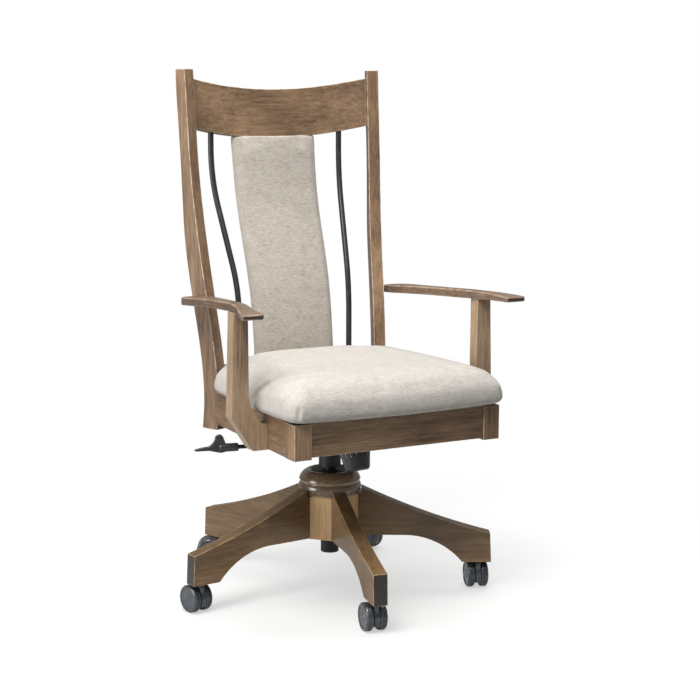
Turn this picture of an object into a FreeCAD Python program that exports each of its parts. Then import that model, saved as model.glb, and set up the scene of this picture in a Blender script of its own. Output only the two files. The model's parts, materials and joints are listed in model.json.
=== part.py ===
import FreeCAD, Part
import math
import os
import Sketcher

# Desk chair: a five-leg wooden swivel base on twin-wheel casters, a gas lift, a tilt mechanism,
# a wooden seat frame with an upholstered cushion, and a high back of two bent posts, a bowed
# crest rail, two metal rods and an upholstered splat, with wooden arms on bracket supports.
# Millimetres. +Z is up, -Y is the way the sitter faces, the lift's axis is the Z axis, and the
# casters stand on Z = 0. "Right" and "left" are the sitter's: right is -X.

Vector = FreeCAD.Vector
doc = FreeCAD.newDocument("desk_chair")
sheet = doc.addObject("Spreadsheet::Sheet", "sizes")
sheet_row = [0]


class Size:
    """A number from the sheet, or worked out from it, with the expression that gives it."""

    def __init__(self, value, text):
        self.value = float(value)
        self.text = text

    def __add__(self, other):
        other = as_size(other)
        return Size(self.value + other.value, "(%s + %s)" % (self.text, other.text))

    def __sub__(self, other):
        other = as_size(other)
        return Size(self.value - other.value, "(%s - %s)" % (self.text, other.text))

    def __mul__(self, other):
        other = as_size(other)
        return Size(self.value * other.value, "(%s * %s)" % (self.text, other.text))

    def __truediv__(self, other):
        other = as_size(other)
        return Size(self.value / other.value, "(%s / %s)" % (self.text, other.text))

    def __neg__(self):
        return Size(-self.value, "(0 - %s)" % self.text)

    __radd__ = __add__
    __rmul__ = __mul__

    def __rsub__(self, other):
        return as_size(other) - self


def as_size(number):
    if isinstance(number, Size):
        return number
    return Size(number, "%.6g" % number)


def sine(angle):
    return Size(math.sin(math.radians(angle.value)), "sin(%s)" % angle.text)


def cosine(angle):
    return Size(math.cos(math.radians(angle.value)), "cos(%s)" % angle.text)


def arcsine(ratio):
    return Size(math.degrees(math.asin(ratio.value)), "(asin(%s) / 1 deg)" % ratio.text)


def arctangent(ratio):
    return Size(math.degrees(math.atan(ratio.value)), "(atan(%s) / 1 deg)" % ratio.text)


def root(number):
    return Size(math.sqrt(number.value), "sqrt(%s)" % number.text)


def size(name, value, meaning):
    """Write one driving size on its own row of the sheet."""
    sheet_row[0] += 1
    sheet.set("A%d" % sheet_row[0], meaning)
    sheet.set("B%d" % sheet_row[0], "%g" % value)
    sheet.setAlias("B%d" % sheet_row[0], name)
    return Size(value, "sizes." + name)


# Driving sizes: gaps that every fit uses
joint_gap = size("joint_gap", 0.3, "gap between curved faces that don't bear")
running_gap = size("running_gap", 0.05, "radial clearance of a pin that turns")

# Driving sizes: casters
wheel_diameter = size("wheel_diameter", 60, "caster wheel")
wheel_width = size("wheel_width", 17, "one wheel of the pair")
wheel_edge = size("wheel_edge", 5, "rounding of the tread's outer edge")
wheel_inner_edge = size("wheel_inner_edge", 5, "rounding of the tread's inner edge")
wheel_cap = size("wheel_cap", 4, "wheel's outer wall over the axle")
wheel_rim = size("wheel_rim", 7, "tread's wall round the wheel's hollow")
wheel_hollow = size("wheel_hollow", 6, "hollow behind the wheel")
wheel_hub = size("wheel_hub", 13, "radius of the hub behind the wheel")
wheel_draft = size("wheel_draft", 1, "draft of the hollow's walls")
wheel_step = size("wheel_step", 1.5, "wheel's face behind its rim")
wheel_boss = size("wheel_boss", 8.5, "radius of the raised middle of the face")
wheel_boss_rise = size("wheel_boss_rise", 1, "raised middle of the face")
hood_gap = size("hood_gap", 0.6, "hood's edge inside the treads")
hood_width = size("hood_width", 12, "web between the two wheels")
hood_notch = size("hood_notch", 14, "height of the notch under the hood")
caster_trail = size("caster_trail", 20, "axle behind the stem")
axle_diameter = size("axle_diameter", 6, "wheel axle")
stem_diameter = size("stem_diameter", 11, "caster stem in the leg")
stem_foot = size("stem_foot", 37.2, "stem's lower end above the floor")
hood_boss_top = size("hood_boss_top", 57, "top of the hood's boss round the stem")
stem_tip_diameter = size("stem_tip_diameter", 8, "stem inside the hood")
stem_height = size("stem_height", 36, "stem inside the leg")
stem_flange = size("stem_flange", 4, "flange stands out round the stem")
stem_chamfer = size("stem_chamfer", 1, "chamfer at the stem's top")
stem_inset = size("stem_inset", 28, "foot's end to the stem's axis")
caster_headroom = size("caster_headroom", 5, "wheel top to leg foot")
collar_height = size("collar_height", 3, "flange on the stem under the leg")

# Driving sizes: star base
star_turn = size("star_turn", -11.7, "direction of leg 1 from straight ahead")
leg_reach = size("leg_reach", 359, "axis to the foot's end")
leg_thick = size("leg_thick", 31, "leg board thickness")
leg_end_height = size("leg_end_height", 66, "height of the end face")
leg_end_rake = size("leg_end_rake", 3, "end face: foot stands out past the top")
leg_foot_length = size("leg_foot_length", 65, "flat foot under the end")
leg_arch_rise = size("leg_arch_rise", 60, "foot to the straight underside")
leg_arch_length = size("leg_arch_length", 122, "run of the arch")
leg_arch_radius = size("leg_arch_radius", 165, "radius of the arch")
leg_top_radius = size("leg_top_radius", 1500, "hollow of the leg's top edge")
hub_corner_radius = size("hub_corner_radius", 65, "hub's corner radius")
hub_drop = size("hub_drop", 1.5, "hub below the legs' underside")
hub_height = size("hub_height", 95.5, "hub block")
leg_shoulder = size("leg_shoulder", 15, "leg's top above the hub's top")
cap_radius = size("cap_radius", 69.5, "turned cap, widest")
cap_bead_height = size("cap_bead_height", 31, "bead ring of the cap")
cap_bead_round = size("cap_bead_round", 5, "bulge of the bead")
cap_height = size("cap_height", 53, "turned cap, to its rim")
cap_bead_land = size("cap_bead_land", 3.1, "straight edge above and below the bead")
cap_step = size("cap_step", 1, "shoulder above the bead, where they meet")
cap_neck_radius = size("cap_neck_radius", 68.3, "shoulder where it meets the bead")
cap_dome_radius = size("cap_dome_radius", 28, "radius of the shoulder's section")
cap_rim_radius = size("cap_rim_radius", 50, "rim of the cap's dished top")
cap_lip = size("cap_lip", 4, "flat lip round the cap's dish")
cap_shoulder = size("cap_shoulder", 3, "shoulder inside the bead, where they meet")
cap_dish = size("cap_dish", 9, "mouth below the rim")

# Driving sizes: gas lift
tube_radius = size("tube_radius", 25, "outer tube")
tube_wall = size("tube_wall", 2.5, "outer tube's wall")
tube_collar = size("tube_collar", 41, "radius of the tube's collar in the cap's dish")
tube_taper = size("tube_taper", 1, "height of the step from the tube to its nose")
nose_radius = size("nose_radius", 20, "tube's lower end")
tube_show = size("tube_show", 9, "tube above the cap's mouth")
nose_drop = size("nose_drop", 39, "tube end below the hub")
spring_radius = size("spring_radius", 14, "gas cylinder")
lift_rod_radius = size("lift_rod_radius", 5, "piston rod")
cylinder_wall = size("cylinder_wall", 2.5, "gas cylinder's wall")
cylinder_end = size("cylinder_end", 6, "gas cylinder's end wall")
cylinder_drop = size("cylinder_drop", 16, "cylinder's end below the spare travel")
piston_gap = size("piston_gap", 0.5, "piston to the cylinder's wall")
bearing_gap = size("bearing_gap", 1, "rod's collar to the tube's inside")
bearing_height = size("bearing_height", 5, "rod's collar on the end plate")
clip_stand = size("clip_stand", 3, "clip stands out past the rod")
clip_height = size("clip_height", 2, "clip under the end plate")
guide_length = size("guide_length", 60, "guide at the tube's mouth")
lift_travel = size("lift_travel", 100, "travel of the gas lift")

# Driving sizes: tilt mechanism
column_show = size("column_show", 8, "tube's mouth to the socket at the lowest setting")
socket_radius = size("socket_radius", 24.5, "socket for the gas cylinder")
socket_height = size("socket_height", 62, "socket")
socket_gap = size("socket_gap", 2, "cylinder's end below the socket's rim")
pan_half = size("pan_half", 44, "housing half width")
pan_wall = size("pan_wall", 3.5, "housing wall")
pan_lift = size("pan_lift", 38, "housing floor above the socket's mouth")
pan_height = size("pan_height", 46, "housing")
pan_back = size("pan_back", 48, "housing behind the axis")
pan_front = size("pan_front", 62, "deep part ahead of the axis")
pan_slope = size("pan_slope", 24, "run of the slope up to the shallow front")
nose_front = size("nose_front", 140, "shallow front ahead of the axis")
nose_height = size("nose_height", 18, "shallow front part's height")
plate_gap = size("plate_gap", 19, "housing's top to the seat bracket's plate")
plate_thick = size("plate_thick", 4, "seat bracket")
plate_half_width = size("plate_half_width", 92, "seat bracket's half width")
plate_half_depth = size("plate_half_depth", 98, "seat bracket's half depth")
pivot_ahead = size("pivot_ahead", 50, "tilt pivot ahead of the axis")
pivot_rise = size("pivot_rise", 34.96, "tilt pivot above the housing's floor")
pivot_radius = size("pivot_radius", 6, "tilt pivot pin")
pivot_head_height = size("pivot_head_height", 3, "pivot pin's heads")
pivot_stand = size("pivot_stand", 2, "pin past the bracket's cheeks")
pivot_head = size("pivot_head", 9, "pivot pin's head radius")
cheek_gap = size("cheek_gap", 0.6, "housing side to the bracket's cheek")
cheek_half = size("cheek_half", 16, "cheek's half width about the pivot")
coil_wire = size("coil_wire", 5, "tilt spring wire")
coil_gap = size("coil_gap", 0.8, "tilt spring to its pin")
coil_room = size("coil_room", 2, "tilt spring to the housing's walls")
coil_turns = size("coil_turns", 8, "turns of the tilt spring")
knob_ahead = size("knob_ahead", 113, "tension knob ahead of the axis")
knob_radius = size("knob_radius", 33, "tension knob, top")
knob_tip_radius = size("knob_tip_radius", 27, "tension knob, bottom")
knob_height = size("knob_height", 42, "tension knob")
knob_tilt = size("knob_tilt", 18, "knob's axis leans forward, degrees")
knob_gap = size("knob_gap", 13, "knob to the housing, on its axis")
flute_radius = size("flute_radius", 3.6, "grip flute of the knob")
flute_depth = size("flute_depth", 2, "flute's depth at the knob's top")
flute_count = 18
knob_edge = size("knob_edge", 2, "chamfer round the knob's top")
knob_round = size("knob_round", 4, "rounding round the knob's bottom")
knob_face = size("knob_face", 3, "knob's flat bottom inside its rim")
bolt_grip = size("bolt_grip", 6, "bolt above the housing's floor")
bolt_radius = size("bolt_radius", 5, "tension bolt")
lever_back = size("lever_back", 24, "lever pivot behind the axis")
lever_sweep = size("lever_sweep", 13, "lever swept back, degrees")
lever_rod_radius = size("lever_rod_radius", 4.5, "lever rod")
lever_reach = size("lever_reach", 149, "pivot to the handle")
lever_rise = size("lever_rise", 12, "lever above the housing floor")
trunnion_radius = size("trunnion_radius", 2.5, "lever's trunnions")
ear_thick = size("ear_thick", 3, "ears that hold the trunnions")
ear_gap = size("ear_gap", 1.2, "lever rod to the ears")
ear_radius = size("ear_radius", 6.5, "rounded end of an ear")
ear_root = size("ear_root", 3, "ears run into the housing's wall")
ear_stand = size("ear_stand", 1, "ears' round ends to the housing")
lever_tail = size("lever_tail", 5, "lever rod behind its trunnions")
handle_length = size("handle_length", 96, "handle, ferrule to tail")
handle_radius = size("handle_radius", 9.2, "handle's ferrule")
ferrule_length = size("ferrule_length", 42, "handle's ferrule")
handle_bore = size("handle_bore", 30, "rod inside the handle")
handle_fin = size("handle_fin", 28.5, "fin's top above the handle's axis")
fin_thick = size("fin_thick", 10, "fin and tail")
fin_root = size("fin_root", 14, "fin starts inside the ferrule")
fin_tip = size("fin_tip", 5, "half length of the fin's top")
fin_bow = size("fin_bow", 24, "radius of the fin's top and heel")
fin_nose = size("fin_nose", 11, "radius of the fin's nose")
fin_lead = size("fin_lead", 9, "fin's outer top corner past the ferrule")
fin_heel = size("fin_heel", 9, "fin's heel below its top")
fin_foot = size("fin_foot", 24, "fin's heel past the ferrule")
tail_drop = size("tail_drop", 5, "tail's underside below the axis")
tail_thick = size("tail_thick", 4, "tail at its end")
tail_run = size("tail_run", 40, "where the tail's top levels out")
tail_rise = size("tail_rise", 2, "tail's top there, above the axis")
belly_drop = size("belly_drop", 2, "handle's belly below the ferrule")

# Driving sizes: seat frame
cleat_width = size("cleat_width", 42, "cross cleats")
rail_drop = size("rail_drop", 15, "rails below the cleats")
rail_height = size("rail_height", 73, "seat rails")
rail_thick = size("rail_thick", 22, "seat rails")
rail_setback = size("rail_setback", 3, "rails behind the corner blocks' faces")
block_width = size("block_width", 39, "front corner blocks")
front_lift = size("front_lift", 4, "front rail's underside above the side rails'")
post_drop = size("post_drop", 15, "posts' feet below the rails")
frame_front = size("frame_front", 302, "axis to the blocks' front")
frame_front_half = size("frame_front_half", 243, "half width over the blocks")
frame_rear_half = size("frame_rear_half", 219, "half width at the posts")
frame_rear = size("frame_rear", 150, "axis to the rear rail's front")
board_thick = size("board_thick", 12, "seat board")

board_gap = size("board_gap", 2, "seat board to the posts")
board_notch = size("board_notch", 4, "board's notch past the posts' inner sides")
rail_run = size("rail_run", 20, "side rails run into the posts")

# Driving sizes: cushion
cushion_front = size("cushion_front", 323, "axis to the cushion's front")
cushion_front_half = size("cushion_front_half", 259, "half width at the front")
cushion_rear_half = size("cushion_rear_half", 244, "half width at the rear corners")
cushion_corner_rear = size("cushion_corner_rear", 116, "axis to the rear corners")
cushion_rear = size("cushion_rear", 149, "axis to the cushion's back edge")
cushion_tongue_half = size("cushion_tongue_half", 180, "half width between the posts")
cushion_boxing = size("cushion_boxing", 51, "height of the cushion's side")
cushion_crown = size("cushion_crown", 31, "crown above the side")
cushion_corner = size("cushion_corner", 34, "corner radius of the cushion")
cushion_bow = size("cushion_bow", 2600, "radius of the cushion's bowed sides")
cushion_tuck = size("cushion_tuck", 8, "cushion drawn in where it lies on the frame")
cushion_low_tuck = size("cushion_low_tuck", 3, "drawn in just above the frame")
cushion_high_tuck = size("cushion_high_tuck", 2, "drawn in above its fullest height")
cushion_shoulder = size("cushion_shoulder", 6, "drawn in below the top edge")
cushion_top_edge = size("cushion_top_edge", 12, "drawn in at the top edge")
cushion_crown_low = size("cushion_crown_low", 26, "drawn in low on the crown")
cushion_crown_high = size("cushion_crown_high", 56, "drawn in high on the crown")
cushion_crown_top = size("cushion_crown_top", 100, "drawn in at the crown's top")
tongue_round = size("tongue_round", 12, "rounding of the tongue between the posts")
tongue_flank = size("tongue_flank", 10, "straight flank of the tongue")

# Driving sizes: back posts, at five heights above the rails' underside
post_width = size("post_width", 27, "post, front face")
post_twist = size("post_twist", 20, "posts turned in, degrees")
post_height = size("post_height", 775, "post's top above the rails' underside")
foot_spread = size("foot_spread", 218.5, "outer front edge, half width at the foot")
foot_back = size("foot_back", 123, "outer front edge behind the axis, foot")
foot_depth = size("foot_depth", 45, "post depth at the foot")
seat_level = size("seat_level", 148, "level near the cushion")
seat_spread = size("seat_spread", 217.5, "half width near the cushion")
seat_back = size("seat_back", 130, "behind the axis near the cushion")
seat_depth = size("seat_depth", 45, "post depth near the cushion")
arm_level = size("arm_level", 288, "level near the arm")
arm_spread = size("arm_spread", 226.5, "half width near the arm")
arm_back = size("arm_back", 156, "behind the axis near the arm")
arm_depth = size("arm_depth", 46, "post depth near the arm")
chest_level = size("chest_level", 410, "level below the taper")
chest_spread = size("chest_spread", 233.5, "half width below the taper")
chest_back = size("chest_back", 180, "behind the axis below the taper")
chest_depth = size("chest_depth", 43, "post depth below the taper")
taper_level = size("taper_level", 515, "level in the taper")
taper_spread = size("taper_spread", 239, "half width in the taper")
taper_back = size("taper_back", 195, "behind the axis in the taper")
taper_depth = size("taper_depth", 33.5, "post depth in the taper")
crest_level = size("crest_level", 640, "level under the crest")
crest_spread = size("crest_spread", 242.5, "half width under the crest")
crest_back = size("crest_back", 207, "behind the axis under the crest")
crest_depth = size("crest_depth", 30, "post depth under the crest")
top_spread = size("top_spread", 244.5, "half width at the top")
top_back = size("top_back", 218, "behind the axis at the top")
top_depth = size("top_depth", 29, "post depth at the top")
post_levels = [
    (seat_level, seat_spread, seat_back, seat_depth),
    (arm_level, arm_spread, arm_back, arm_depth),
    (chest_level, chest_spread, chest_back, chest_depth),
    (taper_level, taper_spread, taper_back, taper_depth),
    (crest_level, crest_spread, crest_back, crest_depth),
]

# Driving sizes: crest rail, lower back rail, rods and splat
crest_height = size("crest_height", 110, "crest rail, top to bottom")
crest_thick = size("crest_thick", 22, "crest rail")
crest_radius = size("crest_radius", 560, "crest rail's plan radius, at mid thickness")
crest_bow = size("crest_bow", 1250, "radius of the crest's top and bottom edges")
crest_centre_back = size("crest_centre_back", 291, "crest's middle behind the axis")
crest_centre_level = size("crest_centre_level", 676, "crest's middle above the rails' underside")
crest_lean = size("crest_lean", 6.5, "crest leans back, degrees")
crest_half = size("crest_half", 232, "half length of the crest blank, into the posts")
lower_rail_height = size("lower_rail_height", 48, "lower back rail")
lower_rail_thick = size("lower_rail_thick", 24, "lower back rail")
lower_rail_back = size("lower_rail_back", 158, "lower back rail's front face")
back_rod_radius = size("back_rod_radius", 6.5, "back rods")
back_rod_top_half = size("back_rod_top_half", 163.4, "rods' half spacing at the crest")
back_rod_foot_half = size("back_rod_foot_half", 140.2, "rods' half spacing at the lower rail")
back_rod_foot_back = size("back_rod_foot_back", 167, "rods behind the axis at the lower rail")
back_rod_top_back = size("back_rod_top_back", 261, "rods behind the axis at the crest")
back_rod_tenon = size("back_rod_tenon", 12, "rod inside the lower rail")
back_rod_head = size("back_rod_head", 25, "rods' ends above the crest's lowest edge")
rod_bend_low = size("rod_bend_low", 284.5, "level of the rods' lower bend")
rod_bend_high = size("rod_bend_high", 533.7, "level of the rods' upper bend")
rod_low_radius = size("rod_low_radius", 340, "radius of the lower bend")
rod_high_radius = size("rod_high_radius", 360, "radius of the upper bend")
splat_half_top = size("splat_half_top", 109, "splat's half width at the crest")
splat_half_foot = size("splat_half_foot", 103, "splat's half width at the lower rail")
splat_thick = size("splat_thick", 27, "splat over its padding")
splat_crown = size("splat_crown", 5, "crown of the splat's face")
splat_foot_back = size("splat_foot_back", 172, "splat's middle behind the axis, foot")
splat_top_back = size("splat_top_back", 277, "splat's middle behind the axis, top")
splat_bend_low = size("splat_bend_low", 202, "level of the splat's lower bend")
splat_bend_high = size("splat_bend_high", 575, "level of the splat's upper bend")
splat_bend_run = size("splat_bend_run", 45, "half length of each bend")
splat_joint = size("splat_joint", 4, "splat past the edge of each rail")
splat_edge = size("splat_edge", 9.7, "run of the splat's rounded sides")
splat_edge_round = size("splat_edge_round", 13.6, "radius of the splat's rounded sides")
splat_ease = size("splat_ease", 3, "splat eased into and out of its bends")

# Driving sizes: arms and their supports
arm_thick = size("arm_thick", 17.5, "arm board")
arm_rear_level = size("arm_rear_level", 263, "arm above the rails' underside, at the post")
arm_front_rise = size("arm_front_rise", 19, "underside rises to the front")
arm_arch_radius = size("arm_arch_radius", 6600, "arm's long upward bow")
arm_tip_front = size("arm_tip_front", 260, "axis to the arm's front end")
arm_tip_inner = size("arm_tip_inner", 286, "inner corner of the front end")
arm_tip_outer = size("arm_tip_outer", 335, "outer corner of the front end")
arm_tip_corner = size("arm_tip_corner", 7, "corner radius of the front end")
arm_flare_back = size("arm_flare_back", 60, "where the flare meets the front end")
arm_flare = size("arm_flare", 18, "outer edge's flare over the front end")
arm_waist_inner = size("arm_waist_inner", 247, "inner edge at the waist")
arm_waist_outer = size("arm_waist_outer", 280, "outer edge at the waist")
arm_waist_ahead = size("arm_waist_ahead", 25, "waist ahead of the axis")
arm_lobe_centre = size("arm_lobe_centre", 257, "rear lobe's centre, half width")
arm_lobe_back = size("arm_lobe_back", 153, "rear lobe's centre behind the axis")
arm_lobe_radius = size("arm_lobe_radius", 27, "rear lobe")
arm_tip_thick = size("arm_tip_thick", 10, "arm at its front end")
arm_roll_length = size("arm_roll_length", 140, "length of the rolled front")
arm_roll_radius = size("arm_roll_radius", 1400, "radius of the rolled front's top")
arm_roll_crown = size("arm_roll_crown", 4, "extra thickness where the roll starts")
arm_flare_radius = size("arm_flare_radius", 420, "hollow of the flare's outer edge")
arm_side_radius = size("arm_side_radius", 520, "hollow of the arm's outer edge")
arm_rear_radius = size("arm_rear_radius", 200, "outer edge ahead of the lobe")
arm_rear_run = size("arm_rear_run", 40, "length of the outer edge ahead of the lobe")
arm_inner_radius = size("arm_inner_radius", 900, "bow of the arm's inner edge")
arm_throat = size("arm_throat", 2, "throat of the inner edge ahead of the lobe")
arm_throat_radius = size("arm_throat_radius", 60, "radius of that throat")
arm_throat_ahead = size("arm_throat_ahead", 20, "throat ahead of the lobe's centre")
arm_tip_flare = size("arm_tip_flare", 4, "inner edge's flare at the front end")
arm_spare = size("arm_spare", 20, "blank left round the arm before it is shaped")
arm_chord_back = size("arm_chord_back", 32, "rear end of the arm's chord behind the post's foot")
support_front = size("support_front", 164, "axis to the supports' front face")
support_thick = size("support_thick", 28, "supports, front to back")
support_foot_height = size("support_foot_height", 52, "support's foot on the side rail")
support_top_outer = size("support_top_outer", 309, "support's outer edge under the arm")
support_top_width = size("support_top_width", 32, "support's width under the arm")
support_knee_outer = size("support_knee_outer", 315, "outer edge at the knee")
support_knee_level = size("support_knee_level", 70, "knee above the rails' underside")
support_heel_outer = size("support_heel_outer", 274, "outer end of the foot")
support_inner = size("support_inner", 276, "inner edge above the cushion")
support_inner_level = size("support_inner_level", 128, "top of the inner curve")
support_inner_radius = size("support_inner_radius", 95, "radius of the inner curve")
support_heel = size("support_heel", 8, "heel's slant at the foot")
support_foot_drop = size("support_foot_drop", 2, "foot below the side rail")
support_ledge = size("support_ledge", 12, "foot's top past the side rail")
support_tenon = size("support_tenon", 8, "support above the arm's underside before it is trimmed")
screw_radius = size("screw_radius", 3, "wood screws")
screw_head = size("screw_head", 6.5, "wood screws' head radius")
screw_head_height = size("screw_head_height", 2.5, "wood screws' head")
screw_length = size("screw_length", 36, "wood screws under the head")

# Heights and places that follow from the sizes above
stem_circle = leg_reach - stem_inset
foot_z = wheel_diameter + caster_headroom
arch_z = foot_z + leg_arch_rise
hub_z = arch_z - hub_drop
hub_top_z = hub_z + hub_height
shoulder_z = hub_top_z + leg_shoulder
cap_top_z = hub_top_z + cap_height
tube_top_z = cap_top_z - cap_dish + tube_show
socket_z = tube_top_z + column_show
pan_z = socket_z + pan_lift
pan_top_z = pan_z + pan_height
nose_z = pan_top_z - nose_height
plate_z = pan_top_z + plate_gap
cleat_z = plate_z + plate_thick
rail_z = cleat_z - rail_drop
rail_top_z = rail_z + rail_height
post_foot_z = rail_z - post_drop
board_z = rail_top_z - board_thick
pivot_z = pan_z + pivot_rise
arm_z = rail_z + arm_rear_level
crest_z = rail_z + crest_centre_level
lower_rail_z = rail_top_z
lower_rail_top_z = lower_rail_z + lower_rail_height
crest_low_z = crest_z - crest_height / 2


def note(name, obj):
    """Give an object the label that names its node."""
    obj.Label = name
    return obj


def bind(obj, prop, value):
    """Set a property now and tie it to the sheet."""
    value = as_size(value)
    if "." not in prop:
        setattr(obj, prop, value.value)
    obj.setExpression(prop, value.text)


def place(obj, x=0, y=0, z=0, angle=0, axis=(0, 0, 1)):
    """Place an object by bound coordinates and one bound turn about a fixed axis."""
    x, y, z, angle = as_size(x), as_size(y), as_size(z), as_size(angle)
    turn = FreeCAD.Rotation(Vector(*axis), angle.value if angle.value else 1e-9)
    obj.Placement = FreeCAD.Placement(Vector(x.value, y.value, z.value), turn)
    for prop, value in (("x", x), ("y", y), ("z", z)):
        if "sizes." in value.text:
            obj.setExpression("Placement.Base." + prop, value.text)
    if "sizes." in angle.text:
        obj.setExpression("Placement.Rotation.Angle", angle.text)
    return obj


def new_body(name):
    return note(name, doc.addObject("PartDesign::Body", name))


def mirrored(points):
    """The same outline on the other side of X = 0, still counter-clockwise."""
    turned = []
    for index, point in enumerate(points):
        previous = points[index - 1]
        turned.append((-as_size(point[0]), point[1]) + tuple(previous[2:]))
    return turned[::-1]


def plane_of(body, role):
    return next(f for f in body.Origin.OriginFeatures if f.Role == role)


def outline(body, role, name, points, offset=None):
    """A closed sketch of lines and arcs on one of the body's planes.

    A point is (x, y), or (x, y, radius) where an arc leaves it for the next point: a positive
    radius bulges to the right of the way round, a negative one to the left.
    """
    sketch = body.newObject("Sketcher::SketchObject", name)
    sketch.AttachmentSupport = [(plane_of(body, role), "")]
    sketch.MapMode = "FlatFace"
    if offset is not None:
        bind_offset(sketch, offset)
    add_outline(sketch, points)
    return sketch


def bind_offset(sketch, offset):
    """Lift a sketch off its plane by a bound distance."""
    offset = as_size(offset)
    sketch.AttachmentOffset = FreeCAD.Placement(Vector(0, 0, offset.value), FreeCAD.Rotation())
    sketch.setExpression("AttachmentOffset.Base.z", offset.text)


def edge_between(start, end, radius):
    """A line, or an arc of the given signed radius, between two points of a sketch."""
    if radius is None:
        return Part.LineSegment(start, end)
    chord = end - start
    half = chord.Length / 2
    sagitta = abs(radius) - math.sqrt(max(radius * radius - half * half, 0))
    right = Vector(chord.y, -chord.x, 0).normalize()
    middle = (start + end) * 0.5 + right * math.copysign(sagitta, radius)
    if radius < 0:
        return Part.Arc(end, middle, start)
    return Part.Arc(start, middle, end)


def add_outline(sketch, points):
    """Draw the closed outline, join its ends and tie each corner and radius to the sheet."""
    corners = [(as_size(p[0]), as_size(p[1])) for p in points]
    radii = [as_size(p[2]) if len(p) > 2 else None for p in points]
    places = [Vector(x.value, y.value, 0) for x, y in corners]
    first = len(sketch.Geometry)
    heads = []
    for index, start in enumerate(places):
        end = places[(index + 1) % len(places)]
        radius = radii[index].value if radii[index] else None
        geometry = sketch.addGeometry(edge_between(start, end, radius), False)
        drawn = sketch.Geometry[geometry]
        forwards = (drawn.StartPoint - start).Length < 1e-4
        heads.append((1, 2) if forwards else (2, 1))
    for index in range(len(places)):
        following = (index + 1) % len(places)
        sketch.addConstraint(Sketcher.Constraint("Coincident", first + index, heads[index][1],
                                                 first + following, heads[following][0]))
    for index, (x, y) in enumerate(corners):
        for kind, value in (("DistanceX", x), ("DistanceY", y)):
            mark = sketch.addConstraint(Sketcher.Constraint(kind, -1, 1, first + index,
                                                            heads[index][0], value.value))
            if "sizes." in value.text:
                sketch.setExpression("Constraints[%d]" % mark, value.text)
        if radii[index]:
            value = radii[index] if radii[index].value > 0 else -radii[index]
            mark = sketch.addConstraint(Sketcher.Constraint("Radius", first + index, value.value))
            sketch.setExpression("Constraints[%d]" % mark, value.text)


def circle(sketch, x, y, radius):
    """Add one circle to a sketch, tied to the sheet."""
    x, y, radius = as_size(x), as_size(y), as_size(radius)
    centre = Vector(x.value, y.value, 0)
    number = sketch.addGeometry(Part.Circle(centre, Vector(0, 0, 1), radius.value), False)
    mark = sketch.addConstraint(Sketcher.Constraint("Radius", number, radius.value))
    sketch.setExpression("Constraints[%d]" % mark, radius.text)
    for kind, value in (("DistanceX", x), ("DistanceY", y)):
        mark = sketch.addConstraint(Sketcher.Constraint(kind, -1, 1, number, 3, value.value))
        if "sizes." in value.text:
            sketch.setExpression("Constraints[%d]" % mark, value.text)


def round_sketch(body, role, name, circles, offset=None):
    """A sketch of circles, each (x, y, radius)."""
    sketch = body.newObject("Sketcher::SketchObject", name)
    sketch.AttachmentSupport = [(plane_of(body, role), "")]
    sketch.MapMode = "FlatFace"
    if offset is not None:
        bind_offset(sketch, offset)
    for x, y, radius in circles:
        circle(sketch, x, y, radius)
    return sketch


def pad(body, sketch, length, symmetric=False, reverse=False, kind="PartDesign::Pad"):
    """Pad or pocket a sketch by a bound length."""
    feature = body.newObject(kind, sketch.Name + "_solid")
    feature.Profile = sketch
    bind(feature, "Length", length)
    if symmetric:
        feature.SideType = "Symmetric"
    feature.Reversed = reverse
    return feature


def pocket(body, sketch, length, symmetric=False, reverse=False):
    return pad(body, sketch, length, symmetric, reverse, "PartDesign::Pocket")


def revolve(body, sketch, kind="PartDesign::Revolution", axis="Z_Axis"):
    """Turn a sketch all the way round one of the body's axes."""
    feature = body.newObject(kind, sketch.Name + "_turned")
    feature.Profile = sketch
    feature.ReferenceAxis = (plane_of(body, axis), [""])
    feature.Angle = 360
    return feature


def loft(body, sketches, ruled=False):
    feature = body.newObject("PartDesign::AdditiveLoft", body.Name + "_loft")
    feature.Profile = sketches[0]
    feature.Sections = sketches[1:]
    feature.Ruled = ruled
    return feature


def boolean(kind, name, base, tools):
    """A Part::Cut, Part::Common or Part::MultiFuse of whole objects."""
    feature = doc.addObject(kind, name)
    if kind == "Part::MultiFuse":
        feature.Shapes = [base] + tools
    else:
        feature.Base = base
        feature.Tool = tools[0]
    return feature


def cut_by(name, blank, tools):
    """The blank less each tool in turn; the last cut carries the node's name."""
    for index, tool in enumerate(tools):
        last = index == len(tools) - 1
        blank = boolean("Part::Cut", name if last else "%s_cut_%d" % (name, index), blank, [tool])
    return note(name, blank)


def group(name, bodies):
    """Several separate solids that share one node."""
    feature = doc.addObject("Part::Compound", name)
    feature.Links = bodies
    return note(name, feature)


nodes = []


def keep(obj):
    nodes.append(obj)
    return obj


# Star base: five board legs against the flats of a hub block
def leg_angle(index):
    """Plan angle of a leg from +X, for leg 1 to 5."""
    return star_turn + (72 * index - 90)


def make_hub():
    body = new_body("base_hub")
    half_flat = arcsine(leg_thick / (2 * hub_corner_radius))
    corners = []
    for index in range(5):
        for side in (-1, 1):
            angle = leg_angle(index) + side * half_flat
            corners.append((hub_corner_radius * cosine(angle), hub_corner_radius * sine(angle)))
    sketch = outline(body, "XY_Plane", "hub_outline", corners, hub_z)
    circle(sketch, 0, 0, tube_radius + running_gap)
    pad(body, sketch, hub_height)
    return keep(body)


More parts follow.
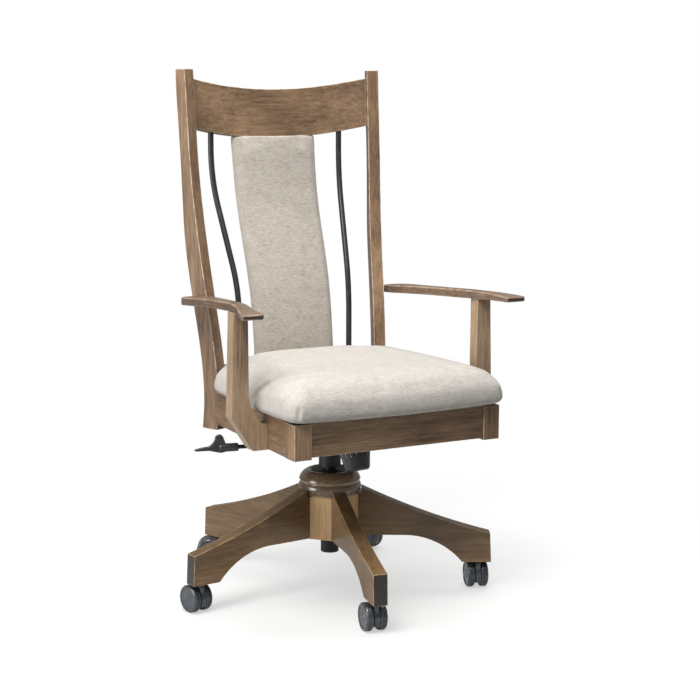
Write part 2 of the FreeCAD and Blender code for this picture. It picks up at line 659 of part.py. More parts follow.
def make_leg(index):
    body = new_body("base_leg_%d" % (index + 1))
    flat = root(hub_corner_radius * hub_corner_radius - leg_thick * leg_thick / 4)
    rim = cap_radius + joint_gap
    foot_start = leg_reach - leg_foot_length
    points = [
        (flat, arch_z),
        (foot_start - leg_arch_length, arch_z, -leg_arch_radius),
        (foot_start, foot_z),
        (leg_reach, foot_z),
        (leg_reach - leg_end_rake, foot_z + leg_end_height, -leg_top_radius),
        (rim, shoulder_z),
        (rim, hub_top_z),
        (flat, hub_top_z),
    ]
    pad(body, outline(body, "XZ_Plane", "leg_side_%d" % index, points), leg_thick, symmetric=True)
    hole = round_sketch(body, "XY_Plane", "stem_hole_%d" % index,
                        [(stem_circle, 0, stem_diameter / 2 + joint_gap)], foot_z)
    pocket(body, hole, stem_height + joint_gap, reverse=True)
    place(body, angle=leg_angle(index))
    return keep(body)


def make_cap():
    """Turned cap: a bead below, a round shoulder and a dished top, bored for the lift's tube."""
    body = new_body("hub_cap")
    bead_top = hub_top_z + cap_bead_height
    bead_edge = cap_radius - cap_bead_round
    chord = cap_bead_height - 2 * cap_bead_land
    bead_bow = (chord * chord / 4 + cap_bead_round * cap_bead_round) / (2 * cap_bead_round)
    bore = tube_radius + joint_gap
    points = [
        (bore, hub_top_z),
        (bead_edge, hub_top_z),
        (bead_edge, hub_top_z + cap_bead_land, bead_bow),
        (bead_edge, bead_top - cap_bead_land),
        (cap_neck_radius - cap_shoulder, bead_top),
        (cap_neck_radius, bead_top + cap_step, cap_dome_radius),
        (cap_rim_radius, cap_top_z),
        (cap_rim_radius - cap_lip, cap_top_z),
        (bore, cap_top_z - cap_dish),
    ]
    revolve(body, outline(body, "XZ_Plane", "cap_section", points))
    return keep(body)


# Gas lift: tube, piston rod on its bearing, and the cylinder that slides and turns with the rod
tube_floor_z = hub_z - nose_drop
tube_floor_thick = size("tube_floor_thick", 4, "tube's end plate")
piston_rise = size("piston_rise", 40, "end plate to the lift's spare travel")
piston_height = size("piston_height", 8, "piston")
piston_z = tube_floor_z + piston_rise + lift_travel


def make_tube():
    """Outer tube of the lift: guide and collar at the mouth, end plate below."""
    body = new_body("gas_tube")
    bore = spring_radius + running_gap
    inside = tube_radius - tube_wall
    nose_inside = nose_radius - tube_wall
    rod_bore = lift_rod_radius + running_gap
    dish_slope = cap_dish / (cap_rim_radius - cap_lip - tube_radius - joint_gap)
    collar_z = cap_top_z - cap_dish + joint_gap
    points = [
        (rod_bore, tube_floor_z),
        (nose_radius, tube_floor_z),
        (nose_radius, hub_z - tube_taper),
        (tube_radius, hub_z),
        (tube_radius, collar_z),
        (tube_collar, collar_z + dish_slope * (tube_collar - tube_radius)),
        (tube_collar, tube_top_z),
        (bore, tube_top_z),
        (bore, tube_top_z - guide_length),
        (inside, tube_top_z - guide_length),
        (inside, hub_z + tube_wall),
        (nose_inside, hub_z),
        (nose_inside, tube_floor_z + tube_floor_thick),
        (rod_bore, tube_floor_z + tube_floor_thick),
    ]
    revolve(body, outline(body, "XZ_Plane", "tube_section", points))
    return keep(body)


def make_lift_rod():
    """Piston rod: a collar above and a clip below the tube's end plate hold it there."""
    body = new_body("lift_rod")
    collar = nose_radius - tube_wall - bearing_gap
    collar_z = tube_floor_z + tube_floor_thick + joint_gap
    clip = lift_rod_radius + clip_stand
    clip_z = tube_floor_z - joint_gap
    piston = spring_radius - cylinder_wall - piston_gap
    points = [
        (0, clip_z - clip_height),
        (clip, clip_z - clip_height),
        (clip, clip_z),
        (lift_rod_radius, clip_z),
        (lift_rod_radius, collar_z),
        (collar, collar_z),
        (collar, collar_z + bearing_height),
        (lift_rod_radius, collar_z + bearing_height),
        (lift_rod_radius, piston_z),
        (piston, piston_z),
        (piston, piston_z + piston_height),
        (0, piston_z + piston_height),
    ]
    revolve(body, outline(body, "XZ_Plane", "lift_rod_section", points))
    return keep(body)


def make_gas_spring():
    """Gas cylinder: slides in the tube's guide and carries the mechanism on its upper end."""
    body = new_body("gas_spring")
    bottom = tube_floor_z + piston_rise - cylinder_drop
    top = socket_z + socket_height - socket_gap
    chamber = spring_radius - cylinder_wall
    chamber_top = piston_z + piston_height + cylinder_end
    rod_bore = lift_rod_radius + running_gap
    points = [
        (rod_bore, bottom),
        (spring_radius, bottom),
        (spring_radius, top),
        (0, top),
        (0, chamber_top),
        (chamber, chamber_top),
        (chamber, bottom + cylinder_end),
        (rod_bore, bottom + cylinder_end),
    ]
    revolve(body, outline(body, "XZ_Plane", "gas_spring_section", points))
    return keep(body)


# Casters: stem in the leg, hood with web, two wheels on one axle
caster_turns = [
    size("caster_turn_1", -189, "trail direction of caster 1 from straight ahead"),
    size("caster_turn_2", 161, "trail direction of caster 2"),
    size("caster_turn_3", 205, "trail direction of caster 3"),
    size("caster_turn_4", -118, "trail direction of caster 4"),
    size("caster_turn_5", -167, "trail direction of caster 5"),
]
wheel_radius = wheel_diameter / 2


def stem_place(index):
    return stem_circle * cosine(leg_angle(index)), stem_circle * sine(leg_angle(index))


def make_stem(index):
    """Steel stem: the upper pin sits in the leg, the lower pin turns in the hood."""
    body = new_body("caster_stem_%d" % (index + 1))
    points = [
        (0, stem_foot),
        (stem_tip_diameter / 2, stem_foot),
        (stem_tip_diameter / 2, foot_z - collar_height),
        (stem_diameter / 2 + stem_flange, foot_z - collar_height),
        (stem_diameter / 2 + stem_flange, foot_z),
        (stem_diameter / 2, foot_z),
        (stem_diameter / 2, foot_z + stem_height - stem_chamfer),
        (stem_diameter / 2 - stem_chamfer, foot_z + stem_height),
        (0, foot_z + stem_height),
    ]
    revolve(body, outline(body, "XZ_Plane", "stem_section_%d" % index, points))
    x, y = stem_place(index)
    place(body, x, y)
    return body


def caster_frame(body, index):
    """Put a caster piece at its stem, its trail along the caster's own +X."""
    x, y = stem_place(index)
    place(body, x, y, 0, caster_turns[index] - 90)


def make_hood(index):
    """Hood: a disc web between the wheels, open below, with a boss round the stem."""
    body = new_body("caster_hood_%d" % (index + 1))
    web_radius = wheel_radius - hood_gap
    drop = wheel_radius - hood_notch
    chord = root(web_radius * web_radius - drop * drop)
    points = [
        (caster_trail + chord, hood_notch, web_radius),
        (caster_trail, wheel_radius + web_radius, web_radius),
        (caster_trail - chord, hood_notch),
    ]
    pad(body, outline(body, "XZ_Plane", "web_side_%d" % index, points), hood_width, symmetric=True)
    boss = round_sketch(body, "XY_Plane", "boss_%d" % index, [(0, 0, hood_width / 2)],
                        stem_foot)
    pad(body, boss, hood_boss_top - stem_foot)
    bore = round_sketch(body, "XY_Plane", "stem_bore_%d" % index,
                        [(0, 0, stem_tip_diameter / 2 + running_gap)], stem_foot - joint_gap)
    pocket(body, bore, wheel_diameter, reverse=True)
    axle = round_sketch(body, "XZ_Plane", "axle_bore_%d" % index,
                        [(caster_trail, wheel_radius, axle_diameter / 2)])
    pocket(body, axle, hood_width * 2, symmetric=True)
    caster_frame(body, index)
    return keep(body)


def make_axle(index):
    body = new_body("caster_axle_%d" % (index + 1))
    sketch = round_sketch(body, "XZ_Plane", "axle_round_%d" % index,
                          [(caster_trail, wheel_radius, axle_diameter / 2)])
    pad(body, sketch, hood_width + 2 * (wheel_width - wheel_cap - joint_gap), symmetric=True)
    caster_frame(body, index)
    return keep(body)


def make_wheel(index, side):
    """Wheel: rounded tread, dished outer face with a raised centre, relief for the boss inside."""
    name = "caster_wheel_%d_%s" % (index + 1, "a" if side < 0 else "b")
    body = new_body(name)
    inner = hood_width / 2 + joint_gap
    outer = inner + wheel_width
    bore = axle_diameter / 2 + running_gap
    sketch = body.newObject("Sketcher::SketchObject", "wheel_section_" + name[-3:])
    sketch.AttachmentSupport = [(plane_of(body, "XY_Plane"), "")]
    sketch.MapMode = "FlatFace"
    relief = wheel_radius - wheel_rim
    face = outer - wheel_step
    points = [
        (bore, inner),
        (wheel_hub - wheel_draft, inner),
        (wheel_hub + wheel_draft, inner + wheel_hollow),
        (relief - 2 * wheel_draft, inner + wheel_hollow),
        (relief, inner),
        (wheel_radius - wheel_inner_edge, inner, wheel_inner_edge),
        (wheel_radius, inner + wheel_inner_edge),
        (wheel_radius, outer - wheel_edge, wheel_edge),
        (wheel_radius - wheel_edge, outer),
        (relief - wheel_draft, outer),
        (relief - wheel_draft - wheel_step, face),
        (wheel_boss, face),
        (wheel_boss - wheel_boss_rise / 2, face + wheel_boss_rise),
        (0, face + wheel_boss_rise),
        (0, outer - wheel_cap),
        (bore, outer - wheel_cap),
    ]
    add_outline(sketch, [(p[0], as_size(p[1])) + tuple(p[2:]) for p in points])
    revolve(body, sketch, axis="Y_Axis")
    x, y = stem_place(index)
    angle = caster_turns[index] - 90
    x = x + caster_trail * cosine(angle)
    y = y + caster_trail * sine(angle)
    place(body, x, y, wheel_radius, angle + 180 if side < 0 else angle)
    return keep(body)


# Tilt mechanism
def make_housing():
    """Pressed housing: socket for the lift, deep middle, shallow front, ears for the lever."""
    body = new_body("housing_pan")
    back = pan_back
    deep_front = -pan_front
    slope_front = -(pan_front + pan_slope)
    side = [
        (back, pan_z),
        (back, pan_top_z),
        (-nose_front, pan_top_z),
        (-nose_front, nose_z),
        (slope_front, nose_z),
        (deep_front, pan_z),
    ]
    pad(body, outline(body, "YZ_Plane", "pan_side", side), 2 * pan_half, symmetric=True)
    wall = pan_wall
    hollow = [
        (back - wall, pan_z + wall),
        (back - wall, pan_top_z + 5),
        (-nose_front + wall, pan_top_z + 5),
        (-nose_front + wall, nose_z + wall),
        (slope_front + wall, nose_z + wall),
        (deep_front + wall, pan_z + wall),
    ]
    pocket(body, outline(body, "YZ_Plane", "pan_hollow", hollow), 2 * (pan_half - wall),
           symmetric=True)
    pad(body, round_sketch(body, "XY_Plane", "socket_round", [(0, 0, socket_radius)], socket_z),
        socket_height)
    bore = round_sketch(body, "XY_Plane", "socket_bore", [(0, 0, spring_radius)], socket_z)
    pocket(body, bore, socket_height * 2, reverse=True)
    pivot = round_sketch(body, "YZ_Plane", "pivot_bore", [(-pivot_ahead, pivot_z, pivot_radius)])
    pocket(body, pivot, pan_half * 3, symmetric=True)
    whole = boolean("Part::MultiFuse", "housing_with_ears", body, [make_ears()])
    way = new_body("bolt_way")
    pad(way, round_sketch(way, "XY_Plane", "bolt_way_round", [(0, 0, bolt_radius + running_gap)]),
        knob_gap * 3)
    knob_place(way)
    return keep(cut_by("mechanism_housing", whole, [way]))


def make_pin():
    body = new_body("tilt_pin")
    half = pan_half + cheek_gap + plate_thick + pivot_stand
    sketch = round_sketch(body, "YZ_Plane", "pin_round", [(-pivot_ahead, pivot_z, pivot_radius)])
    pad(body, sketch, 2 * half, symmetric=True)
    for side in (-1, 1):
        head = round_sketch(body, "YZ_Plane", "pin_head_%s" % ("a" if side < 0 else "b"),
                            [(-pivot_ahead, pivot_z, pivot_head)],
                            side * (half - pivot_head_height / 2))
        pad(body, head, pivot_head_height, reverse=side < 0)
    return keep(body)


def make_bracket():
    """Seat bracket: a flat plate with two cheeks that straddle the housing at the pivot."""
    body = new_body("seat_bracket")
    plate = [
        (plate_half_width, -plate_half_depth),
        (plate_half_width, plate_half_depth),
        (-plate_half_width, plate_half_depth),
        (-plate_half_width, -plate_half_depth),
    ]
    pad(body, outline(body, "XY_Plane", "plate_outline", plate, plate_z), plate_thick)
    low = pivot_z - cheek_half * 0.8
    for side in (-1, 1):
        cheek = [
            (-pivot_ahead + cheek_half * 2, plate_z + 1),
            (-pivot_ahead - cheek_half * 2, plate_z + 1),
            (-pivot_ahead - cheek_half, low),
            (-pivot_ahead + cheek_half, low),
        ]
        sketch = outline(body, "YZ_Plane", "cheek_%s" % ("a" if side < 0 else "b"), cheek,
                         side * (pan_half + cheek_gap))
        pad(body, sketch, plate_thick, reverse=side < 0)
    pivot = round_sketch(body, "YZ_Plane", "cheek_bore",
                         [(-pivot_ahead, pivot_z, pivot_radius + running_gap)])
    pocket(body, pivot, pan_half * 4, symmetric=True)
    return keep(body)


def make_tilt_spring():
    """Torsion spring on the pivot pin, inside the housing."""
    body = new_body("tilt_spring")
    length = 2 * (pan_half - pan_wall - coil_wire - coil_room)
    mean = pivot_radius + coil_wire / 2 + coil_gap
    sketch = round_sketch(body, "XZ_Plane", "coil_wire_round", [(mean, 0, coil_wire / 2)])
    helix = body.newObject("PartDesign::AdditiveHelix", "coil")
    helix.Profile = sketch
    helix.ReferenceAxis = (plane_of(body, "Z_Axis"), [""])
    helix.Mode = "height-turns-growth"
    bind(helix, "Height", length)
    bind(helix, "Turns", coil_turns)
    place(body, -(length / 2), -pivot_ahead, pivot_z, 90, (0, 1, 0))
    return keep(body)


def make_knob():
    """Fluted tension knob below the housing's front; its axis leans forward as it goes down."""
    body = new_body("tension_knob")
    points = [
        (bolt_radius, 0),
        (knob_radius - knob_edge, 0),
        (knob_radius, -knob_edge),
        (knob_tip_radius, knob_face - knob_height, knob_round),
        (knob_tip_radius - knob_face, -knob_height),
        (bolt_radius, -knob_height),
    ]
    revolve(body, outline(body, "XZ_Plane", "knob_section", points))
    flute = round_sketch(body, "XY_Plane", "flute",
                         [(knob_radius + flute_radius - flute_depth, 0, flute_radius)])
    cut = pocket(body, flute, knob_height * 2, symmetric=True)
    pattern = body.newObject("PartDesign::PolarPattern", "flutes")
    pattern.Originals = [cut]
    pattern.Axis = (plane_of(body, "Z_Axis"), [""])
    pattern.Angle = 360
    pattern.Occurrences = flute_count
    body.Tip = pattern
    knob_place(body)
    return keep(body)


def knob_place(body):
    """The knob's top face lies on the tilted axis, a gap below the housing's front."""
    place(body, 0, -knob_ahead, nose_z - knob_gap, knob_tilt, (-1, 0, 0))


def make_tension_bolt():
    """Bolt from the knob into the housing's front, with its nut plate on the floor inside."""
    body = new_body("tension_bolt")
    rise = (knob_gap + pan_wall + bolt_grip) / cosine(knob_tilt)
    depth = knob_height - knob_edge
    sketch = round_sketch(body, "XY_Plane", "bolt_round", [(0, 0, bolt_radius)], -depth)
    pad(body, sketch, depth + rise)
    knob_place(body)
    return keep(body)


# Height lever: rod with cross trunnions in the housing's ears, moulded handle on its end
lever_z = pan_z + lever_rise
lever_x = -(pan_half + ear_radius + ear_stand)
ear_face = lever_rod_radius + ear_gap


def lever_place(body):
    place(body, lever_x, lever_back, lever_z, 180 - lever_sweep)


def make_ears():
    """Two ears on the housing's side wall hold the lever's trunnions."""
    body = new_body("lever_ears")
    root_x = -(ear_radius + ear_root)
    for side in (-1, 1):
        plate = [
            (root_x, -ear_radius),
            (0, -ear_radius, ear_radius * 1.03),
            (0, ear_radius),
            (root_x, ear_radius),
        ]
        sketch = outline(body, "XZ_Plane", "ear_%s" % ("a" if side < 0 else "b"), plate,
                         side * ear_face)
        pad(body, sketch, ear_thick, reverse=side < 0)
    hole = round_sketch(body, "XZ_Plane", "ear_hole", [(0, 0, trunnion_radius + running_gap)])
    pocket(body, hole, ear_face * 6, symmetric=True)
    lever_place(body)
    return body


def make_lever_rod():
    body = new_body("lever_rod")
    rod = round_sketch(body, "YZ_Plane", "lever_round", [(0, 0, lever_rod_radius)],
                       -lever_tail)
    pad(body, rod, lever_tail + lever_reach + handle_bore)
    cross = round_sketch(body, "XZ_Plane", "trunnions", [(0, 0, trunnion_radius)])
    pad(body, cross, 2 * (ear_face + ear_thick + joint_gap), symmetric=True)
    lever_place(body)
    return keep(body)


def make_handle():
    """Moulded handle: round ferrule, upswept fin and a thin tail."""
    body = new_body("lever_handle")
    grip = round_sketch(body, "YZ_Plane", "ferrule", [(0, 0, handle_radius)], lever_reach)
    pad(body, grip, ferrule_length)
    start = lever_reach + ferrule_length
    end = lever_reach + handle_length
    side = [
        (start - fin_root, -handle_radius),
        (start - belly_drop, -handle_radius - belly_drop),
        (start + fin_foot, -tail_drop),
        (end, -tail_drop),
        (end + tail_thick / 2, tail_thick / 2 - tail_drop),
        (end, tail_thick - tail_drop),
        (start + tail_run, tail_rise),
        (start + fin_foot, 2 * tail_rise, -fin_bow),
        (start + fin_lead, handle_fin - tail_thick, fin_nose),
        (start - fin_tip, handle_fin, fin_bow),
        (start - 2 * fin_tip, handle_fin - fin_heel),
        (start - fin_root, handle_radius - tail_thick / 4),
    ]
    pad(body, outline(body, "XZ_Plane", "fin_side", side), fin_thick, symmetric=True)
    bore = round_sketch(body, "YZ_Plane", "rod_bore", [(0, 0, lever_rod_radius)], lever_reach)
    pocket(body, bore, handle_bore, reverse=True)
    lever_place(body)
    return keep(body)


# Seat frame
def side_line(y):
    """Half width of the frame over the side rails' outer faces, at depth y."""
    start = -frame_front + block_width
    share = (y - start) / (foot_back - start)
    wide = frame_front_half - rail_setback
    return wide + (frame_rear_half - wide) * share


def make_front_rail():
    body = new_body("front_rail")
    half = frame_front_half - block_width - joint_gap
    front = -frame_front + rail_setback
    points = [(half, front), (half, front + rail_thick), (-half, front + rail_thick),
              (-half, front)]
    pad(body, outline(body, "XY_Plane", "front_rail_plan", points, rail_z + front_lift),
        rail_height - front_lift)
    return keep(body)


def make_block(side, name):
    body = new_body(name)
    outer = side * frame_front_half
    inner = side * (frame_front_half - block_width)
    points = [(outer, -frame_front), (outer, -frame_front + block_width),
              (inner, -frame_front + block_width), (inner, -frame_front)]
    pad(body, outline(body, "XY_Plane", name + "_plan", points, rail_z), rail_height)
    return keep(body)


def make_side_rail(side, name, posts, screws):
    body = new_body(name + "_blank")
    front = -frame_front + block_width + joint_gap
    back = foot_back + rail_run
    points = [
        (side * side_line(front), front),
        (side * side_line(back), back),
        (side * (side_line(back) - rail_thick), back),
        (side * (side_line(front) - rail_thick), front),
    ]
    pad(body, outline(body, "XY_Plane", name + "_plan", points, rail_z), rail_height)
    return keep(cut_by(name, body, posts + [screws]))


def make_rear_rail(posts):
    body = new_body("rear_rail_blank")
    half = foot_spread
    points = [(half, frame_rear), (half, frame_rear + rail_thick),
              (-half, frame_rear + rail_thick), (-half, frame_rear)]
    pad(body, outline(body, "XY_Plane", "rear_rail_plan", points, rail_z), rail_height)
    return keep(cut_by("rear_rail", body, posts))


def make_cleats():
    """Two cross cleats carry the seat board and take the seat bracket's screws."""
    bodies = []
    for name, centre in (("a", -(plate_half_depth - cleat_width / 2)),
                         ("b", plate_half_depth - cleat_width / 2)):
        body = new_body("cleat_" + name)
        near = centre - cleat_width / 2
        far = centre + cleat_width / 2
        room = rail_thick + joint_gap
        points = [(side_line(near) - room, near), (side_line(far) - room, far),
                  (-(side_line(far) - room), far), (-(side_line(near) - room), near)]
        pad(body, outline(body, "XY_Plane", "cleat_plan_" + name, points, cleat_z),
            board_z - cleat_z)
        bodies.append(body)
    return keep(group("cross_cleats", bodies))


def make_board():
    body = new_body("seat_board")
    front = -frame_front + block_width + joint_gap
    back = frame_rear - joint_gap
    waist = foot_back - board_gap
    room = rail_thick + joint_gap
    notch = post_width * cosine(post_twist) + board_notch
    points = [
        (side_line(front) - room, front),
        (side_line(waist) - room, waist),
        (foot_spread - notch, waist),
        (foot_spread - notch, back),
        (-(foot_spread - notch), back),
        (-(foot_spread - notch), waist),
        (-(side_line(waist) - room), waist),
        (-(side_line(front) - room), front),
    ]
    pad(body, outline(body, "XY_Plane", "board_plan", points, board_z), board_thick)
    return keep(body)


def cushion_ring(body, name, level, inset):
    """One level of the cushion: bowed sides and round corners, drawn in by an inset."""
    front = -cushion_front + inset
    wide = cushion_front_half - inset
    rear_wide = cushion_rear_half - inset
    rear = cushion_corner_rear - inset * 0.6
    tongue = cushion_tongue_half - inset
    back = rear + cushion_rear - cushion_corner_rear
    corner = cushion_corner
    points = [
        (wide - corner, front, corner),
        (wide, front + corner, cushion_bow),
        (rear_wide, rear - corner, corner),
        (rear_wide - corner, rear),
        (tongue + 0.8 * tongue_flank, rear, -tongue_round),
        (tongue, rear + tongue_flank),
        (tongue, back - tongue_round, tongue_round),
        (tongue - tongue_round, back),
        (-(tongue - tongue_round), back, tongue_round),
        (-tongue, back - tongue_round),
        (-tongue, rear + tongue_flank, -tongue_round),
        (-(tongue + 0.8 * tongue_flank), rear),
        (-(rear_wide - corner), rear, corner),
        (-rear_wide, rear - corner, cushion_bow),
        (-wide, front + corner, corner),
        (-(wide - corner), front, cushion_bow),
    ]
    return outline(body, "XY_Plane", name, points, rail_top_z + joint_gap + level)


def make_cushion():
    """Cushion: drawn in at its base, fullest at mid height, with a crown on top."""
    body = new_body("seat_cushion")
    side = cushion_boxing
    crown = cushion_crown
    levels = [
        (side * 0, cushion_tuck),
        (side * 0.12, cushion_low_tuck),
        (side * 0.28, side * 0),
        (side * 0.6, cushion_high_tuck),
        (side * 0.85, cushion_shoulder),
        (side, cushion_top_edge),
        (side + crown * 0.45, cushion_crown_low),
        (side + crown * 0.8, cushion_crown_high),
        (side + crown, cushion_crown_top),
    ]
    rings = [cushion_ring(body, "cushion_ring_%d" % number, level, inset)
             for number, (level, inset) in enumerate(levels)]
    loft(body, rings, ruled=True)
    return keep(body)


# Back
def post_ring(body, name, side, level, spread, back, depth):
    """Section of a post: its outer front corner, turned in by the twist."""
    across_x = post_width * cosine(post_twist)
    across_y = post_width * sine(post_twist)
    deep_x = depth * sine(post_twist)
    deep_y = depth * cosine(post_twist)
    points = [
        (side * spread, back),
        (side * (spread + deep_x), back + deep_y),
        (side * (spread + deep_x - across_x), back + deep_y + across_y),
        (side * (spread - across_x), back + across_y),
    ]
    return outline(body, "XY_Plane", name, points, level)


def make_post(side, name):
    body = new_body(name)
    rings = [post_ring(body, name + "_foot", side, post_foot_z, foot_spread, foot_back,
                       foot_depth)]
    for number, (level, spread, back, depth) in enumerate(post_levels):
        rings.append(post_ring(body, "%s_ring_%d" % (name, number), side, rail_z + level, spread,
                               back, depth))
    rings.append(post_ring(body, name + "_top", side, rail_z + post_height, top_spread, top_back,
                           top_depth))
    loft(body, rings)
    return keep(body)


def make_crest(posts):
    """Crest rail: curved in plan, its top and bottom edges bowed down in the middle."""
    plan = new_body("crest_plan")
    outer = crest_radius + crest_thick / 2
    inner = crest_radius - crest_thick / 2
    end = crest_half
    back_y = root(outer * outer - end * end) - crest_radius
    front_y = root(inner * inner - end * end) - crest_radius
    points = [
        (end, back_y, outer),
        (-end, back_y),
        (-end, front_y, -inner),
        (end, front_y),
    ]
    sketch = outline(plan, "XY_Plane", "crest_plan_outline", points, -crest_height)
    pad(plan, sketch, crest_height * 2)
    face = new_body("crest_face")
    rise = crest_bow - root(crest_bow * crest_bow - end * end)
    half = crest_height / 2
    edge = [
        (end, rise - half),
        (end, rise + half, -crest_bow),
        (-end, rise + half),
        (-end, rise - half, crest_bow),
    ]
    pad(face, outline(face, "XZ_Plane", "crest_face_outline", edge), crest_radius, symmetric=True)
    blank = boolean("Part::Common", "crest_blank", plan, [face])
    blank.Placement = FreeCAD.Placement()
    place(blank, 0, crest_centre_back, crest_z, crest_lean, (-1, 0, 0))
    return keep(cut_by("crest_rail", blank, posts))


def make_lower_rail(posts):
    body = new_body("lower_back_rail_blank")
    half = foot_spread
    front = lower_rail_back
    points = [(half, front), (half, front + lower_rail_thick),
              (-half, front + lower_rail_thick), (-half, front)]
    pad(body, outline(body, "XY_Plane", "lower_rail_plan", points, lower_rail_z),
        lower_rail_height)
    return keep(cut_by("lower_back_rail", body, posts))


def make_back_rod(side, name, rails):
    """Metal rod: upright foot and top, the middle leaning back and out between two bends."""
    body = new_body(name + "_blank")
    foot = lower_rail_top_z - back_rod_tenon
    low = rail_z + rod_bend_low - foot
    high = rail_z + rod_bend_high - foot
    top = crest_low_z + back_rod_head - foot
    run = high - low
    spread = back_rod_top_half - back_rod_foot_half
    back = back_rod_top_back - back_rod_foot_back
    lean = root(spread * spread + back * back)
    length = root(run * run + lean * lean)
    low_bend = rod_low_radius * ((length - run) / lean)
    high_bend = rod_high_radius * ((length - run) / lean)
    path = body.newObject("Sketcher::SketchObject", name + "_path")
    path.AttachmentSupport = [(plane_of(body, "YZ_Plane"), "")]
    path.MapMode = "FlatFace"
    spots = [
        (as_size(0), as_size(0)),
        (as_size(0), low - low_bend),
        (low_bend * lean / length, low + low_bend * run / length),
        (lean - high_bend * lean / length, high - high_bend * run / length),
        (lean, high + high_bend),
        (lean, top),
    ]
    add_path(path, spots, [None, rod_low_radius, None, -rod_high_radius, None])
    ring = round_sketch(body, "XY_Plane", name + "_round", [(0, 0, back_rod_radius)])
    pipe = body.newObject("PartDesign::AdditivePipe", name + "_pipe")
    pipe.Profile = ring
    pipe.Spine = path
    turn = arctangent(spread / back)
    place(body, side * back_rod_foot_half, back_rod_foot_back, foot, -side * turn)
    return keep(cut_by(name, body, rails))


def add_path(sketch, spots, radii):
    """An open run of lines and arcs, tied to the sheet at every joint."""
    places = [Vector(as_size(x).value, as_size(y).value, 0) for x, y in spots]
    heads = []
    for index in range(len(places) - 1):
        radius = as_size(radii[index]).value if radii[index] is not None else None
        number = sketch.addGeometry(edge_between(places[index], places[index + 1], radius), False)
        drawn = sketch.Geometry[number]
        heads.append((1, 2) if (drawn.StartPoint - places[index]).Length < 1e-4 else (2, 1))
    for index in range(len(heads) - 1):
        sketch.addConstraint(Sketcher.Constraint("Coincident", index, heads[index][1], index + 1,
                                                 heads[index + 1][0]))
    last = len(heads) - 1
    for index, (x, y) in enumerate(spots):
        geometry, mark_end = (index, heads[index][0]) if index <= last else (last, heads[last][1])
        for kind, value in (("DistanceX", as_size(x)), ("DistanceY", as_size(y))):
            mark = sketch.addConstraint(Sketcher.Constraint(kind, -1, 1, geometry, mark_end,
                                                            value.value))
            if "sizes." in value.text:
                sketch.setExpression("Constraints[%d]" % mark, value.text)
    for index, radius in enumerate(radii):
        if radius is not None:
            value = as_size(radius)
            value = value if value.value > 0 else -value
            mark = sketch.addConstraint(Sketcher.Constraint("Radius", index, value.value))
            sketch.setExpression("Constraints[%d]" % mark, value.text)


def splat_ring(body, name, level, half, middle, thick, crown):
    """Section of the splat: crowned face, flatter back, round drawn-in sides."""
    face = middle - thick / 2
    rear = middle + thick / 2
    edge = splat_edge
    face_bow = (half * half) / (2 * crown)
    points = [
        (-(half - edge), face, face_bow),
        (half - edge, face, splat_edge_round),
        (half, middle, splat_edge_round),
        (half - edge, rear),
        (-(half - edge), rear, splat_edge_round),
        (-half, middle, splat_edge_round),
    ]
    return outline(body, "XY_Plane", name, points, level)


def make_splat(rails):
    """Upholstered splat between the crest and the lower rail, with its own S-curve."""
    body = new_body("back_splat_blank")
    foot = lower_rail_top_z - splat_joint
    top = crest_low_z + splat_joint
    low = rail_z + splat_bend_low
    high = rail_z + splat_bend_high
    lean = (splat_top_back - splat_foot_back) / (high - low)
    run = splat_bend_run
    steps = [
        (foot, splat_foot_back),
        (low - run, splat_foot_back + splat_ease),
        (low + run, splat_foot_back + lean * run),
        ((low + high) / 2, (splat_foot_back + splat_top_back) / 2),
        (high - run, splat_top_back - lean * run),
        (high + run * 0.6, splat_top_back - splat_ease),
        (top, splat_top_back),
    ]
    rings = []
    for number, (level, middle) in enumerate(steps):
        share = (level - foot) / (top - foot)
        half = splat_half_foot + (splat_half_top - splat_half_foot) * share
        rings.append(splat_ring(body, "splat_ring_%d" % number, level, half, middle, splat_thick,
                                splat_crown))
    loft(body, rings)
    return keep(cut_by("back_splat", body, rails))


# Arms
def arm_underside(y):
    """Height of the arm's underside at depth y, along the chord of its bow."""
    rear = foot_back + arm_chord_back
    share = (rear - y) / (rear + arm_tip_front)
    return arm_z + arm_front_rise * share


